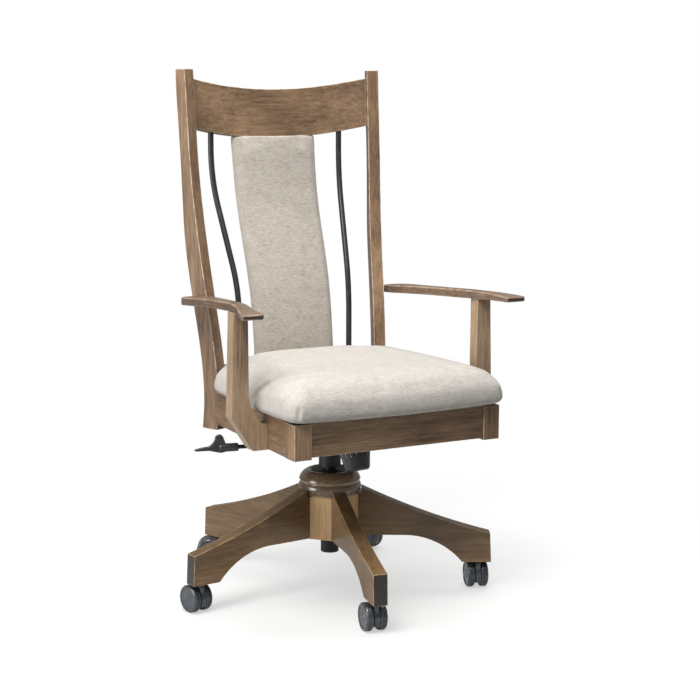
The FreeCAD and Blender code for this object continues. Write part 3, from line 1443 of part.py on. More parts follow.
def make_arm(side, name, post):
    """Arm board: rounded lobe round the post, waist, flared front with a rolled top."""
    plan = new_body(name + "_plan")
    lobe_outer = arm_lobe_centre + arm_lobe_radius
    lobe_inner = arm_lobe_centre - arm_lobe_radius
    waist_y = -arm_waist_ahead
    corner = arm_tip_corner
    inner_y = arm_lobe_back - arm_throat_ahead
    points = [
        (arm_tip_inner + corner, -arm_tip_front),
        (arm_tip_outer - corner, -arm_tip_front, corner),
        (arm_tip_outer, -arm_tip_front + corner),
        (arm_tip_outer - arm_flare, -arm_tip_front + arm_flare_back, -arm_flare_radius),
        (arm_waist_outer, waist_y, -arm_side_radius),
        (lobe_outer, arm_lobe_back - arm_rear_run, arm_rear_radius),
        (lobe_outer, arm_lobe_back, arm_lobe_radius),
        (arm_lobe_centre, arm_lobe_back + arm_lobe_radius, arm_lobe_radius),
        (lobe_inner, arm_lobe_back),
        (lobe_inner - arm_throat, inner_y, arm_throat_radius),
        (lobe_inner, inner_y - arm_rear_run),
        (arm_waist_inner, waist_y, arm_inner_radius),
        (arm_tip_inner - arm_tip_flare, -arm_tip_front + arm_flare_back),
        (arm_tip_inner, -arm_tip_front + corner, corner),
    ]
    if side < 0:
        points = mirrored(points)
    pad(plan, outline(plan, "XY_Plane", name + "_plan_outline", points, arm_z - arm_spare),
        arm_thick + arm_front_rise + 2 * arm_spare)
    profile = new_body(name + "_side")
    rear = arm_lobe_back + arm_lobe_radius + arm_spare / 2
    tip = -arm_tip_front - arm_spare / 4
    roll = -arm_tip_front + arm_roll_length
    edge = [
        (rear, arm_underside(rear)),
        (rear, arm_underside(rear) + arm_thick, arm_arch_radius),
        (roll, arm_underside(roll) + arm_thick + arm_roll_crown, arm_roll_radius),
        (tip, arm_underside(tip) + arm_tip_thick),
        (tip, arm_underside(tip), -arm_arch_radius),
    ]
    side_sketch = outline(profile, "YZ_Plane", name + "_side_outline", edge)
    pad(profile, side_sketch, 2 * (arm_tip_outer + arm_spare), symmetric=True)
    blank = boolean("Part::Common", name + "_blank", plan, [profile])
    return keep(cut_by(name, blank, [post]))


def make_support(side, name, rail, arm, screws):
    """Arm support: foot on the side rail, sweeps out round the cushion and up to the arm."""
    body = new_body(name + "_blank")
    foot_inner = side_line(-support_front) - rail_thick / 2
    foot_top = rail_z + support_foot_height
    knee_z = rail_z + support_knee_level
    inner_z = rail_z + support_inner_level
    top = arm_underside(-support_front) + support_tenon
    top_inner = support_top_outer - support_top_width
    points = [
        (foot_inner, rail_z - support_foot_drop),
        (support_heel_outer - support_heel, rail_z - support_foot_drop),
        (support_heel_outer, rail_z + support_heel - support_foot_drop),
        (support_knee_outer, knee_z),
        (support_top_outer, top),
        (top_inner, top),
        (support_inner, inner_z, -support_inner_radius),
        (side_line(-support_front) + support_ledge, foot_top + support_foot_drop),
        (foot_inner, foot_top),
    ]
    if side < 0:
        points = mirrored(points)
    sketch = outline(body, "XZ_Plane", name + "_outline", points, support_front - support_thick)
    pad(body, sketch, support_thick)
    return keep(cut_by(name, body, [rail, arm, screws]))


def make_support_screws():
    """Four wood screws hold the arm supports, driven through the side rails from inside."""
    bodies = []
    for side in (-1, 1):
        for number, share in enumerate((0.3, 0.72)):
            name = "support_screw_%s_%d" % ("right" if side < 0 else "left", number)
            body = new_body(name)
            depth = -support_front + support_thick / 2
            inside = side_line(depth) - rail_thick - screw_head_height
            screw_section(body, name)
            place(body, side * inside, depth, rail_z + support_foot_height * share, side * 90,
                  (0, 1, 0))
            bodies.append(body)
    return keep(group("support_screws", bodies))


def screw_section(body, name):
    """A round-head wood screw along the body's +Z, its head's outer face at Z = 0."""
    points = [
        (0, 0),
        (screw_head, 0),
        (screw_head, screw_head_height),
        (screw_radius, screw_head_height),
        (screw_radius, screw_head_height + screw_length - 2),
        (0, screw_head_height + screw_length),
    ]
    revolve(body, outline(body, "XZ_Plane", name + "_section", points))


# Build the chair
make_hub()
for leg in range(5):
    make_leg(leg)
make_cap()
make_tube()
make_lift_rod()
keep(group("caster_stems", [make_stem(number) for number in range(5)]))
for number in range(5):
    make_hood(number)
    make_axle(number)
    make_wheel(number, -1)
    make_wheel(number, 1)
make_gas_spring()
make_housing()
make_pin()
make_tilt_spring()
make_bracket()
make_knob()
make_tension_bolt()
make_lever_rod()
make_handle()
post_right = make_post(-1, "rear_post_right")
post_left = make_post(1, "rear_post_left")
both_posts = [post_right, post_left]
make_front_rail()
make_block(-1, "corner_block_right")
make_block(1, "corner_block_left")
screws = make_support_screws()
rail_right = make_side_rail(-1, "side_rail_right", [post_right], screws)
rail_left = make_side_rail(1, "side_rail_left", [post_left], screws)
make_rear_rail(both_posts)
make_cleats()
make_board()
make_cushion()
crest = make_crest(both_posts)
lower_rail = make_lower_rail(both_posts)
make_back_rod(-1, "back_rod_right", [crest, lower_rail])
make_back_rod(1, "back_rod_left", [crest, lower_rail])
make_splat([crest, lower_rail])
arm_right = make_arm(-1, "arm_right", post_right)
arm_left = make_arm(1, "arm_left", post_left)
make_support(-1, "arm_support_right", rail_right, arm_right, screws)
make_support(1, "arm_support_left", rail_left, arm_left, screws)
doc.recompute()

# Nothing is written unless every object is sound
faults = []
for obj in doc.Objects:
    if "Invalid" in obj.State or "Error" in obj.State:
        faults.append("%s is %s" % (obj.Name, obj.State))
for obj in nodes:
    shape = obj.Shape
    if shape.isNull() or not shape.isValid() or not shape.Solids:
        faults.append("%s has no valid solid" % obj.Label)
if faults:
    raise RuntimeError("; ".join(faults))

os.makedirs("parts", exist_ok=True)
for obj in nodes:
    obj.Shape.exportStep("parts/%s.step" % obj.Label)
print("nodes written:", len(nodes))
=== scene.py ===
import bmesh
import bpy
import json
import math
from mathutils import Matrix, Vector


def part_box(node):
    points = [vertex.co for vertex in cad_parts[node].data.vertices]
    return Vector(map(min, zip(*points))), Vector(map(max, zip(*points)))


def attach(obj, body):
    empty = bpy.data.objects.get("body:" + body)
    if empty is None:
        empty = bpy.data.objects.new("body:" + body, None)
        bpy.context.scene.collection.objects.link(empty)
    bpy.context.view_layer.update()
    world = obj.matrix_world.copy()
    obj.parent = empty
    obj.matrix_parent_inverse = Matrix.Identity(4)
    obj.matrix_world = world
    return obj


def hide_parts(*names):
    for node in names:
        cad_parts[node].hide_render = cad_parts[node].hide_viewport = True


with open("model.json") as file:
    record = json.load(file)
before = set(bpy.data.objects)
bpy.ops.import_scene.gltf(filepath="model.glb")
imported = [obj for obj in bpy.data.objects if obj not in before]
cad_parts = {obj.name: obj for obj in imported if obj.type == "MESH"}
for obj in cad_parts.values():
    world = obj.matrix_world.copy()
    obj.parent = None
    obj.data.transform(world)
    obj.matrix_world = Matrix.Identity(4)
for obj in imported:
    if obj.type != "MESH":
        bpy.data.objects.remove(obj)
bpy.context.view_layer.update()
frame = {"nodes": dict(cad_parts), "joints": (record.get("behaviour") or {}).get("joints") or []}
nodes = frame["nodes"]
print("frame loaded:", len(nodes), "CAD nodes")


def linear(hexColour):
    # sRGB hex to the linear values that shader sockets take
    parts = [int(hexColour[i:i + 2], 16) / 255 for i in (1, 3, 5)]
    return tuple(p / 12.92 if p <= 0.04045 else ((p + 0.055) / 1.055) ** 2.4 for p in parts) + (1.0,)


def addNode(tree, kind, settings, links=()):
    # settings: attribute or input name -> value; links: (input name, node, output name)
    node = tree.nodes.new("ShaderNode" + kind)
    for key, value in settings.items():
        if isinstance(key, str) and hasattr(node, key):
            setattr(node, key, value)
        else:
            node.inputs[key].default_value = value
    for socket, source, output in links:
        tree.links.new(source.outputs[output], node.inputs[socket])
    return node


def newMaterial(name):
    material = bpy.data.materials.new(name)
    material.use_nodes = True
    tree = material.node_tree
    tree.nodes.clear()
    return material, tree


def closeMaterial(tree, shader):
    addNode(tree, "OutputMaterial", {}, [("Surface", shader, "BSDF")])


def colourRamp(tree, source, output, stops):
    # the source's value through a ramp of (position, colour) stops
    ramp = addNode(tree, "ValToRGB", {}, [("Fac", source, output)])
    elements = ramp.color_ramp.elements
    while len(elements) > 1:
        elements.remove(elements[-1])
    elements[0].position, elements[0].color = stops[0]
    for position, colour in stops[1:]:
        elements.new(position).color = colour
    return ramp


def noise(tree, source, output, scale, detail, roughness):
    return addNode(tree, "TexNoise", {"Scale": scale, "Detail": detail, "Roughness": roughness},
                   [("Vector", source, output)])


def drawnOut(tree, source, output, stretch):
    # the place, shortened along X so that a pattern on it is drawn out along X
    return addNode(tree, "Mapping", {"Scale": (stretch, 1, 1)}, [("Vector", source, output)])


def weighted(tree, parts):
    # the sum of the patterns, each times its weight
    links = []
    for pattern, weight in parts:
        total = addNode(tree, "Math", {"operation": "MULTIPLY_ADD", 1: weight, 2: 0.0},
                        [(0, pattern, "Fac")] + links)
        links = [(2, total, "Value")]
    return total


def mapped(tree, source, output, fromLow, fromHigh, toLow, toHigh):
    return addNode(tree, "MapRange", {"From Min": fromLow, "From Max": fromHigh,
                                      "To Min": toLow, "To Max": toHigh},
                   [("Value", source, output)])


# Levels of a summed pattern at which its dark, middle and pale colours stand
toneLevels = (0.34, 0.50, 0.66)

# Stained maple: long fibres, cloudy stain, darker end grain, pale edges that are partly rubbed wear and
# partly a painted highlight along the corners, satin lacquer
stainedMaple = {
    "dark": "#4A3929", "mid": "#876B51", "light": "#AE9070", "rubbedAndHighlight": "#CDBBA6",
    "endGrain": "#34322F", "roughness": 0.38, "coat": 0.25,
}
baseMaple = dict(stainedMaple, dark="#49381F", mid="#785E40", light="#997B54", rubbedAndHighlight="#B3966F",
                 endGrain="#212121", roughness=0.32)
# Arms: the darker tones are a painted reflection on the satin arm tops; the grey end grain at the front
# tips is partly end grain and partly painted reflection
armMaplePaintedReflection = dict(stainedMaple, dark="#3F3226", mid="#745C49", light="#967C66", rubbedAndHighlight="#A68F7A",
                endGrain="#3A3836")
# Arm supports: painted light, a paler copy of the frame maple that makes up for the light their down-facing
# sides miss
supportMaplePaintedLight = dict(stainedMaple, dark="#66523F", mid="#A58A6F", light="#C7AC8C")
capMaple = dict(baseMaple, dark="#45372A", mid="#745F48", light="#937C60", endGrain="#51443A",
                roughness=0.20, coat=1.0)
hubMaple = dict(stainedMaple, dark="#B58C5C", mid="#D8AE79", light="#E8C693", rubbedAndHighlight="#E2C190",
                roughness=0.36)
plyWood = dict(stainedMaple, dark="#8F7656", mid="#B59A76", light="#CDB490", rubbedAndHighlight="#D9C4A2",
               endGrain="#8A7050", roughness=0.6)

# What all the woods share; each noise has its scale, detail and roughness
woodGrain = {
    "fibre": (620.0, 4.0, 0.6),       # fibres about 1.6 mm apart, drawn coarse enough to show
    "figure": (170.0, 5.0, 0.55),     # growth bands about 6 mm apart
    "cloud": (11.0, 4.0, 0.6),        # stain clouds about 90 mm across
    "waver": (14.0, 3.0, 0.5),        # the bands waver over about 70 mm
    "waverBy": 0.004,
    "fibreStretch": 0.045, "cloudStretch": 0.45,
    "figureShare": 0.30, "cloudShare": 0.42, "fibreShare": 0.26,
    "poreColour": (0.62, 0.60, 0.58, 1), "poreFull": 0.34, "poreNone": 0.56, "poreShare": 0.32,
    "endGrainFrom": 0.82, "endGrainFull": 0.97, "endGrainShare": 0.92,
    "wearAndHighlightPatch": (60.0, 3.0, 0.5),          # patches of the pale edges (rubbed wear and painted highlight), about 17 mm across
    "wearAndHighlightFrom": 0.34, "wearAndHighlightFull": 0.60, "wearAndHighlightLeast": 0.1, "wearAndHighlightMost": 0.9,
    "glossier": 0.06, "duller": 0.10, "coatRoughness": 0.18,
    "refraction": 1.5, "bump": 0.08, "bumpDepth": 0.0004,
}


def woodFinish(name, look, turn=(0, 0, 0), shift=(0, 0, 0)):
    # the grain runs along the pattern's X, which turn brings onto the piece's length
    grain = woodGrain
    material, tree = newMaterial(name)
    place = addNode(tree, "TexCoord", {})
    along = addNode(tree, "Mapping", {"vector_type": "TEXTURE", "Location": shift, "Rotation": turn},
                    [("Vector", place, "Object")])
    stretch = drawnOut(tree, along, "Vector", grain["fibreStretch"])
    waver = noise(tree, along, "Vector", *grain["waver"])
    bend = addNode(tree, "VectorMath", {"operation": "SCALE", "Scale": grain["waverBy"]},
                   [(0, waver, "Color")])
    bent = addNode(tree, "VectorMath", {"operation": "ADD"}, [(0, stretch, "Vector"), (1, bend, "Vector")])
    fibre = noise(tree, stretch, "Vector", *grain["fibre"])
    figure = noise(tree, bent, "Vector", *grain["figure"])
    flat = drawnOut(tree, along, "Vector", grain["cloudStretch"])
    cloud = noise(tree, flat, "Vector", *grain["cloud"])
    tone = weighted(tree, [(figure, grain["figureShare"]), (cloud, grain["cloudShare"]),
                           (fibre, grain["fibreShare"])])
    colours = [linear(look[key]) for key in ("dark", "mid", "light")]
    stain = colourRamp(tree, tone, "Value", list(zip(toneLevels, colours)))
    pores = colourRamp(tree, fibre, "Fac", [(grain["poreFull"], grain["poreColour"]),
                                            (grain["poreNone"], (1, 1, 1, 1))])
    body = addNode(tree, "Mix", {"data_type": "RGBA", "blend_type": "MULTIPLY", 0: grain["poreShare"]},
                   [(6, stain, "Color"), (7, pores, "Color")])
    # end grain drinks more stain: darker where the face looks along the grain
    facing = addNode(tree, "Mapping", {"vector_type": "TEXTURE", "Rotation": turn},
                     [("Vector", place, "Normal")])
    lengthwise = addNode(tree, "SeparateXYZ", {}, [("Vector", facing, "Vector")])
    endOn = addNode(tree, "Math", {"operation": "ABSOLUTE"}, [(0, lengthwise, "X")])
    ends = mapped(tree, endOn, "Value", grain["endGrainFrom"], grain["endGrainFull"],
                  0.0, grain["endGrainShare"])
    stained = addNode(tree, "Mix", {"data_type": "RGBA", 7: linear(look["endGrain"])},
                      [(0, ends, "Result"), (6, body, 2)])
    # pale edges, partly rubbed wear and partly painted highlight: the attribute of the eased edges, broken
    # up into patches
    edgeWearAndHighlight = addNode(tree, "Attribute", {"attribute_name": "edgeWearAndHighlight"})
    patches = noise(tree, along, "Vector", *grain["wearAndHighlightPatch"])
    broken = mapped(tree, patches, "Fac", grain["wearAndHighlightFrom"], grain["wearAndHighlightFull"],
                    grain["wearAndHighlightLeast"], grain["wearAndHighlightMost"])
    wearAndHighlight = addNode(tree, "Math", {"operation": "MULTIPLY"}, [(0, edgeWearAndHighlight, "Fac"), (1, broken, "Result")])
    # paler colour on the eased edges: partly rubbed wear, partly painted highlight
    colour = addNode(tree, "Mix", {"data_type": "RGBA", 7: linear(look["rubbedAndHighlight"])},
                     [(0, wearAndHighlight, "Value"), (6, stained, 2)])
    gloss = mapped(tree, figure, "Fac", 0.0, 1.0,
                   look["roughness"] - grain["glossier"], look["roughness"] + grain["duller"])
    bump = addNode(tree, "Bump", {"Strength": grain["bump"], "Distance": grain["bumpDepth"]},
                   [("Height", fibre, "Fac")])
    shader = addNode(tree, "BsdfPrincipled", {"IOR": grain["refraction"],
                                              "Coat Weight": look["coat"],
                                              "Coat Roughness": grain["coatRoughness"]},
                     [("Base Color", colour, 2), ("Roughness", gloss, "Result"),
                      ("Normal", bump, "Normal")])
    closeMaterial(tree, shader)
    return material


# Chenille upholstery: short nap in broken cross lines, soft shading where the pile leans
chenille = {
    "pale": "#C9C4BE", "mid": "#B9B4AC", "shade": "#A39C93",
    "line": (560.0, 3.0, 0.6),        # nap lines about 1.8 mm apart, drawn coarse enough to show
    "clump": (200.0, 4.0, 0.65),      # clumps of pile about 5 mm across
    "lean": (42.0, 4.0, 0.6),         # patches where the pile leans, about 24 mm across
    "lineStretch": 0.16, "clumpStretch": 0.45,
    "lineShare": 0.50, "clumpShare": 0.28, "leanShare": 0.22,
    "roughness": 0.92, "specular": 0.25, "sheen": 0.35, "sheenRoughness": 0.45,
    "bump": 0.5, "bumpDepth": 0.0009,
}
backChenille = dict(chenille, pale="#CAC2B8", mid="#B7AFA4", shade="#9A9186")


def chenilleFinish(name, look):
    material, tree = newMaterial(name)
    place = addNode(tree, "TexCoord", {})
    linePlace = drawnOut(tree, place, "Object", look["lineStretch"])
    line = noise(tree, linePlace, "Vector", *look["line"])
    clumpPlace = drawnOut(tree, place, "Object", look["clumpStretch"])
    clump = noise(tree, clumpPlace, "Vector", *look["clump"])
    lean = noise(tree, place, "Object", *look["lean"])
    tone = weighted(tree, [(line, look["lineShare"]), (clump, look["clumpShare"]),
                           (lean, look["leanShare"])])
    colours = [linear(look[key]) for key in ("shade", "mid", "pale")]
    pile = colourRamp(tree, tone, "Value", list(zip(toneLevels, colours)))
    height = addNode(tree, "Math", {"operation": "ADD"}, [(0, line, "Fac"), (1, clump, "Fac")])
    bump = addNode(tree, "Bump", {"Strength": look["bump"], "Distance": look["bumpDepth"]},
                   [("Height", height, "Value")])
    shader = addNode(tree, "BsdfPrincipled", {"Roughness": look["roughness"],
                                              "Specular IOR Level": look["specular"],
                                              "Sheen Weight": look["sheen"],
                                              "Sheen Roughness": look["sheenRoughness"]},
                     [("Base Color", pile, "Color"), ("Normal", bump, "Normal")])
    closeMaterial(tree, shader)
    return material


# Moulded, painted or bare hard surface: fine grit in the bump, paler scuffs about 20 mm across
hardSurface = {
    "grit": (3.0, 0.5), "scuff": (45.0, 5.0, 0.7),
    "scuffFrom": 0.45, "scuffFull": 0.75, "scuffMost": 0.6,
    "glossier": 0.07, "duller": 0.09, "coatRoughness": 0.2, "bumpDepth": 0.0003,
}


def hardFinish(name, colour, scuffed, roughness, grit, bump, metallic=0.0, coat=0.0):
    surface = hardSurface
    material, tree = newMaterial(name)
    place = addNode(tree, "TexCoord", {})
    grains = noise(tree, place, "Object", grit, *surface["grit"])
    scuff = noise(tree, place, "Object", *surface["scuff"])
    amount = mapped(tree, scuff, "Fac", surface["scuffFrom"], surface["scuffFull"],
                    0.0, surface["scuffMost"])
    tint = addNode(tree, "Mix", {"data_type": "RGBA", 6: linear(colour), 7: linear(scuffed)},
                   [(0, amount, "Result")])
    gloss = mapped(tree, scuff, "Fac", 0.0, 1.0,
                   roughness - surface["glossier"], roughness + surface["duller"])
    relief = addNode(tree, "Bump", {"Strength": bump, "Distance": surface["bumpDepth"]},
                     [("Height", grains, "Fac")])
    shader = addNode(tree, "BsdfPrincipled", {"Metallic": metallic, "Coat Weight": coat,
                                              "Coat Roughness": surface["coatRoughness"]},
                     [("Base Color", tint, 2), ("Roughness", gloss, "Result"),
                      ("Normal", relief, "Normal")])
    closeMaterial(tree, shader)
    return material


quarter = math.pi / 2
upright, ahead = (0, -quarter, 0), (0, 0, quarter)
woodAcross = woodFinish("stained maple, grain across", stainedMaple)
woodUp = woodFinish("stained maple, grain upright", stainedMaple, upright, (0.3, 0.1, 0))
woodAhead = woodFinish("stained maple, grain front to back", stainedMaple, ahead, (0, 0.2, 0.4))
woodSupportPaintedLight = woodFinish("stained maple, arm supports, paler for painted light", supportMaplePaintedLight, upright, (0.6, 0.5, 0))
woodArmPaintedReflection = woodFinish("stained maple, arms, darkened by painted reflection", armMaplePaintedReflection, ahead, (0.2, 0.6, 0.1))
capWood = woodFinish("turned maple", capMaple, shift=(0.7, 0.4, 0.2))
hubWood = woodFinish("hub maple, grain upright", hubMaple, upright)
rawPly = woodFinish("raw plywood", plyWood)
seatCloth = chenilleFinish("greige chenille, seat", chenille)
backCloth = chenilleFinish("greige chenille, back", backChenille)
gunmetal = hardFinish("powder coated steel rod", "#33373A", "#4A4F53",
                      roughness=0.34, grit=900.0, bump=0.06, metallic=0.35)
blackPaint = hardFinish("black powder coat", "#1C1D1F", "#33353A", roughness=0.45, grit=1300.0, bump=0.14)
blackPlastic = hardFinish("moulded black ABS", "#2E2F32", "#4A4B50",
                          roughness=0.26, grit=1100.0, bump=0.06, coat=0.5)
casterNylon = hardFinish("moulded nylon", "#353A40", "#5E666F",
                         roughness=0.25, grit=1200.0, bump=0.06, coat=0.8)
# black like a real lift tube; on the tube's collar in the cap's dish the black is a painted reflection of
# the mechanism
liftTube = hardFinish("black lift tube", "#17181A", "#2A2B2E", roughness=0.46, grit=700.0, bump=0.04)
stemSteel = hardFinish("blued steel", "#3C3E42", "#54575B",
                       roughness=0.35, grit=800.0, bump=0.05, metallic=0.8)
zincSteel = hardFinish("zinc plated steel", "#9A9B99", "#B9B9B4",
                       roughness=0.34, grit=800.0, bump=0.05, metallic=0.9)
print("materials made")


def pickOnly(piece):
    bpy.ops.object.select_all(action="DESELECT")
    piece.select_set(True)
    bpy.context.view_layer.objects.active = piece


def applyModifier(piece, kind, **settings):
    pickOnly(piece)
    modifier = piece.modifiers.new(kind.lower(), kind)
    for key, value in settings.items():
        setattr(modifier, key, value)
    bpy.ops.object.modifier_apply(modifier=modifier.name)


def finishPiece(piece, body, slot, *replaced):
    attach(piece, body)
    if replaced:
        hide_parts(*replaced)


# How CAD shapes are taken over and their edges eased; angles in degrees
easing = {
    "weld": 0.00002,      # corners of loose triangles nearer than this are one
    "flat": 0.4,          # faces that turn by less are one
    "woodEdge": 28,       # edges that turn by more are eased
    "hardEdge": 35,
    "steps": 3,
    "smooth": 32,         # faces that turn by less shade as one surface
}


def mergedCopy(node, name, flat):
    # a copy of a CAD node, its loose triangles joined and its flat faces made whole
    piece = nodes[node].copy()
    piece.data = nodes[node].data.copy()
    piece.name = piece.data.name = name
    piece.data.materials.clear()
    bpy.context.scene.collection.objects.link(piece)
    piece.parent = None
    piece.matrix_world = Matrix.Identity(4)
    piece.hide_render = piece.hide_viewport = False
    pickOnly(piece)
    bpy.ops.object.mode_set(mode="EDIT")
    bpy.ops.mesh.select_all(action="SELECT")
    bpy.ops.mesh.remove_doubles(threshold=easing["weld"])
    if flat:
        bpy.ops.mesh.dissolve_limited(angle_limit=math.radians(flat))
    bpy.ops.object.mode_set(mode="OBJECT")
    return piece


def easedCopy(node, name, material, body, slot, width, flat=easing["flat"], edge=easing["woodEdge"]):
    # the CAD shape with its sharp edges eased; the eased faces carry the attribute for pale edges, partly
    # wear and partly painted highlight
    piece = mergedCopy(node, name, flat)
    piece.data.materials.append(material)
    piece.data.materials.append(material)
    for polygon in piece.data.polygons:
        polygon.material_index = 0
    applyModifier(piece, "BEVEL", width=width, segments=easing["steps"], limit_method="ANGLE",
                  angle_limit=math.radians(edge), material=1)
    edgeWearAndHighlight = piece.data.attributes.new("edgeWearAndHighlight", "FLOAT", "FACE")
    for polygon in piece.data.polygons:
        edgeWearAndHighlight.data[polygon.index].value = 1.0 if polygon.material_index == 1 else 0.0
        polygon.material_index = 0
    piece.data.materials.pop(index=1)
    pickOnly(piece)
    bpy.ops.object.shade_smooth_by_angle(angle=math.radians(easing["smooth"]))
    applyModifier(piece, "WEIGHTED_NORMAL", keep_sharp=True)
    finishPiece(piece, body, slot, node)


# Wooden frame of the seat and the back: material and width of the eased edges
framePieces = {
    "front_rail": (woodAcross, 0.0012), "rear_rail": (woodAcross, 0.0010),
    "lower_back_rail": (woodAcross, 0.0015), "crest_rail": (woodAcross, 0.0016),
    "side_rail_right": (woodAhead, 0.0012), "side_rail_left": (woodAhead, 0.0012),
    "corner_block_right": (woodUp, 0.0014), "corner_block_left": (woodUp, 0.0014),
    "rear_post_right": (woodUp, 0.0016), "rear_post_left": (woodUp, 0.0016),
    "arm_right": (woodArmPaintedReflection, 0.0028), "arm_left": (woodArmPaintedReflection, 0.0028),
    "arm_support_right": (woodSupportPaintedLight, 0.0016), "arm_support_left": (woodSupportPaintedLight, 0.0016),
}
for node, (material, width) in framePieces.items():
    easedCopy(node, node + "_wood", material, "seat", "stained_wood", width)
print("wooden frame eased")

# Star base: first is the first leg's direction in degrees; each leg has its own run of grain
legNumbers = range(1, 6)
starBase = {"first": -101.7, "step": 72, "grainStep": 0.37, "grainHeight": 0.2,
            "legEdge": 0.0018, "hubEdge": 0.0015, "capEdge": 0.0012}
for k in legNumbers:
    angle = math.radians(starBase["first"] + starBase["step"] * (k - 1))
    legWood = woodFinish("base maple, leg %d" % k, baseMaple, (0, 0, angle),
                         ((k - 1) * starBase["grainStep"], 0, starBase["grainHeight"]))
    node = "base_leg_%d" % k
    easedCopy(node, node + "_wood", legWood, "base", "base_wood", starBase["legEdge"])
easedCopy("base_hub", "base_hub_wood", hubWood, "base", "base_wood", starBase["hubEdge"])
easedCopy("hub_cap", "hub_cap_wood", capWood, "base", "base_wood", starBase["capEdge"], flat=0)
print("star base eased")


# Cushions: the CAD shape a little smaller, remeshed, blown up by cloth pressure and capped
seatPad = {
    "voxel": 0.005, "shrink": 0.003, "pressure": 4.0, "cap": 0.0045, "floor": 0.4455, "frames": 20,
    "fill": 0.8, "reach": None,
    # folds: start, end, half width, depth
    "folds": [
        ((-0.243, -0.318, 0.446), (-0.240, -0.316, 0.494), 0.009, 0.0042),
        ((0.243, -0.318, 0.446), (0.240, -0.316, 0.494), 0.009, 0.0042),
        ((-0.250, -0.135, 0.470), (-0.238, -0.165, 0.512), 0.012, 0.0048),
        ((-0.238, -0.165, 0.512), (-0.205, -0.178, 0.520), 0.012, 0.0022),
        ((0.250, -0.135, 0.470), (0.238, -0.165, 0.512), 0.012, 0.0048),
    ],
}
backPad = {
    "voxel": 0.005, "shrink": 0.002, "pressure": 3.0, "cap": 0.003, "floor": None, "frames": 16,
    "fill": 0.85, "folds": [],
    # drawn up under the crest: low level, high level, rise
    "reach": (0.975, 0.996, 0.0045),
}
foldFullness = 1.5    # how steeply a fold's sides rise
coverCloth = {"quality": 5, "mass": 0.3, "stiffness": 40, "bending": 3,
              "evenBy": 0.5, "evenTimes": 6, "relaxBy": 0.4, "relaxTimes": 3}


def inflate(piece, pad):
    pickOnly(piece)
    cloth = piece.modifiers.new("cloth", "CLOTH")
    settings = cloth.settings
    settings.quality = coverCloth["quality"]
    settings.mass = coverCloth["mass"]
    settings.tension_stiffness = settings.compression_stiffness = coverCloth["stiffness"]
    settings.bending_stiffness = coverCloth["bending"]
    settings.use_pressure = True
    settings.uniform_pressure_force = pad["pressure"]
    settings.effector_weights.gravity = 0
    cloth.collision_settings.use_collision = False
    cloth.collision_settings.use_self_collision = False
    cloth.point_cache.frame_end = pad["frames"]
    for step in range(1, pad["frames"] + 1):
        bpy.context.scene.frame_set(step)
    bpy.ops.object.modifier_apply(modifier=cloth.name)
    bpy.context.scene.frame_set(1)


def share(value, low, high):
    return min(max((value - low) / (high - low), 0), 1)


def pressFolds(mesh, folds):
    # a soft groove along each line, deepest on the line itself
    for start, end, wide, deep in folds:
        start, run = Vector(start), Vector(end) - Vector(start)
        normals = [v.normal.copy() for v in mesh.vertices]
        for vertex, normal in zip(mesh.vertices, normals):
            along = share((vertex.co - start).dot(run), 0, run.length_squared)
            away = (vertex.co - start - run * along).length
            if away < wide:
                vertex.co -= normal * (deep * (1 - (away / wide) ** 2) ** foldFullness)


def paddedCopy(node, name, material, slot, pad):
    piece = mergedCopy(node, name, 0)
    applyModifier(piece, "REMESH", mode="VOXEL", voxel_size=pad["voxel"])
    applyModifier(piece, "SMOOTH", factor=coverCloth["evenBy"], iterations=coverCloth["evenTimes"])
    mesh = piece.data
    start = [v.co.copy() for v in mesh.vertices]
    normals = [v.normal.copy() for v in mesh.vertices]
    for vertex, normal in zip(mesh.vertices, normals):
        vertex.co -= normal * pad["shrink"]
    inflate(piece, pad)
    for vertex, home in zip(mesh.vertices, start):
        move = vertex.co - home
        if move.length > pad["cap"]:
            vertex.co = home + move * (pad["cap"] / move.length)
        if pad["floor"] and vertex.co.z < pad["floor"]:
            vertex.co.z = pad["floor"]
    applyModifier(piece, "SMOOTH", factor=coverCloth["relaxBy"], iterations=coverCloth["relaxTimes"])
    applyModifier(piece, "SUBSURF", levels=1, render_levels=1)
    pressFolds(mesh, pad["folds"])
    if pad["reach"]:
        low, high, rise = pad["reach"]
        for vertex in mesh.vertices:
            vertex.co.z += rise * share(vertex.co.z, low, high)
    piece.data.materials.append(material)
    pickOnly(piece)
    bpy.ops.object.shade_smooth()
    finishPiece(piece, "seat", slot, node)


paddedCopy("seat_cushion", "seat_cushion_cloth", seatCloth, "seat_fabric", seatPad)
paddedCopy("back_splat", "back_splat_cloth", backCloth, "back_fabric", backPad)
print("cushions made")


# Metal and moulded pieces in their CAD shape: material, body, slot and width of the eased edges
hardPieces = {
    # the gas tube's collar lying in the cap's dish is a dark sheet, a painted reflection of the black
    # mechanism in the glossy cap
    "gas_tube": (liftTube, "base", "lift_steel", 0.0008),
    "gas_spring": (liftTube, "carriage", "lift_steel", 0.0006),
    "mechanism_housing": (blackPaint, "carriage", "black_metal", 0.0008),
    "seat_bracket": (blackPaint, "seat", "black_metal", 0.0008),
    "tension_knob": (blackPlastic, "tension", "black_plastic", 0.0008),
    "lever_rod": (blackPaint, "lever", "black_metal", 0.0005),
}
casterHood = {"edge": 0.0008, "flat": 0.2}
for node, (material, body, slot, width) in hardPieces.items():
    easedCopy(node, node + "_finish", material, body, slot, width, flat=0, edge=easing["hardEdge"])
for k in legNumbers:
    node = "caster_hood_%d" % k
    easedCopy(node, node + "_finish", casterNylon, "caster_%d" % k, "caster_plastic",
              casterHood["edge"], flat=casterHood["flat"], edge=easing["hardEdge"])

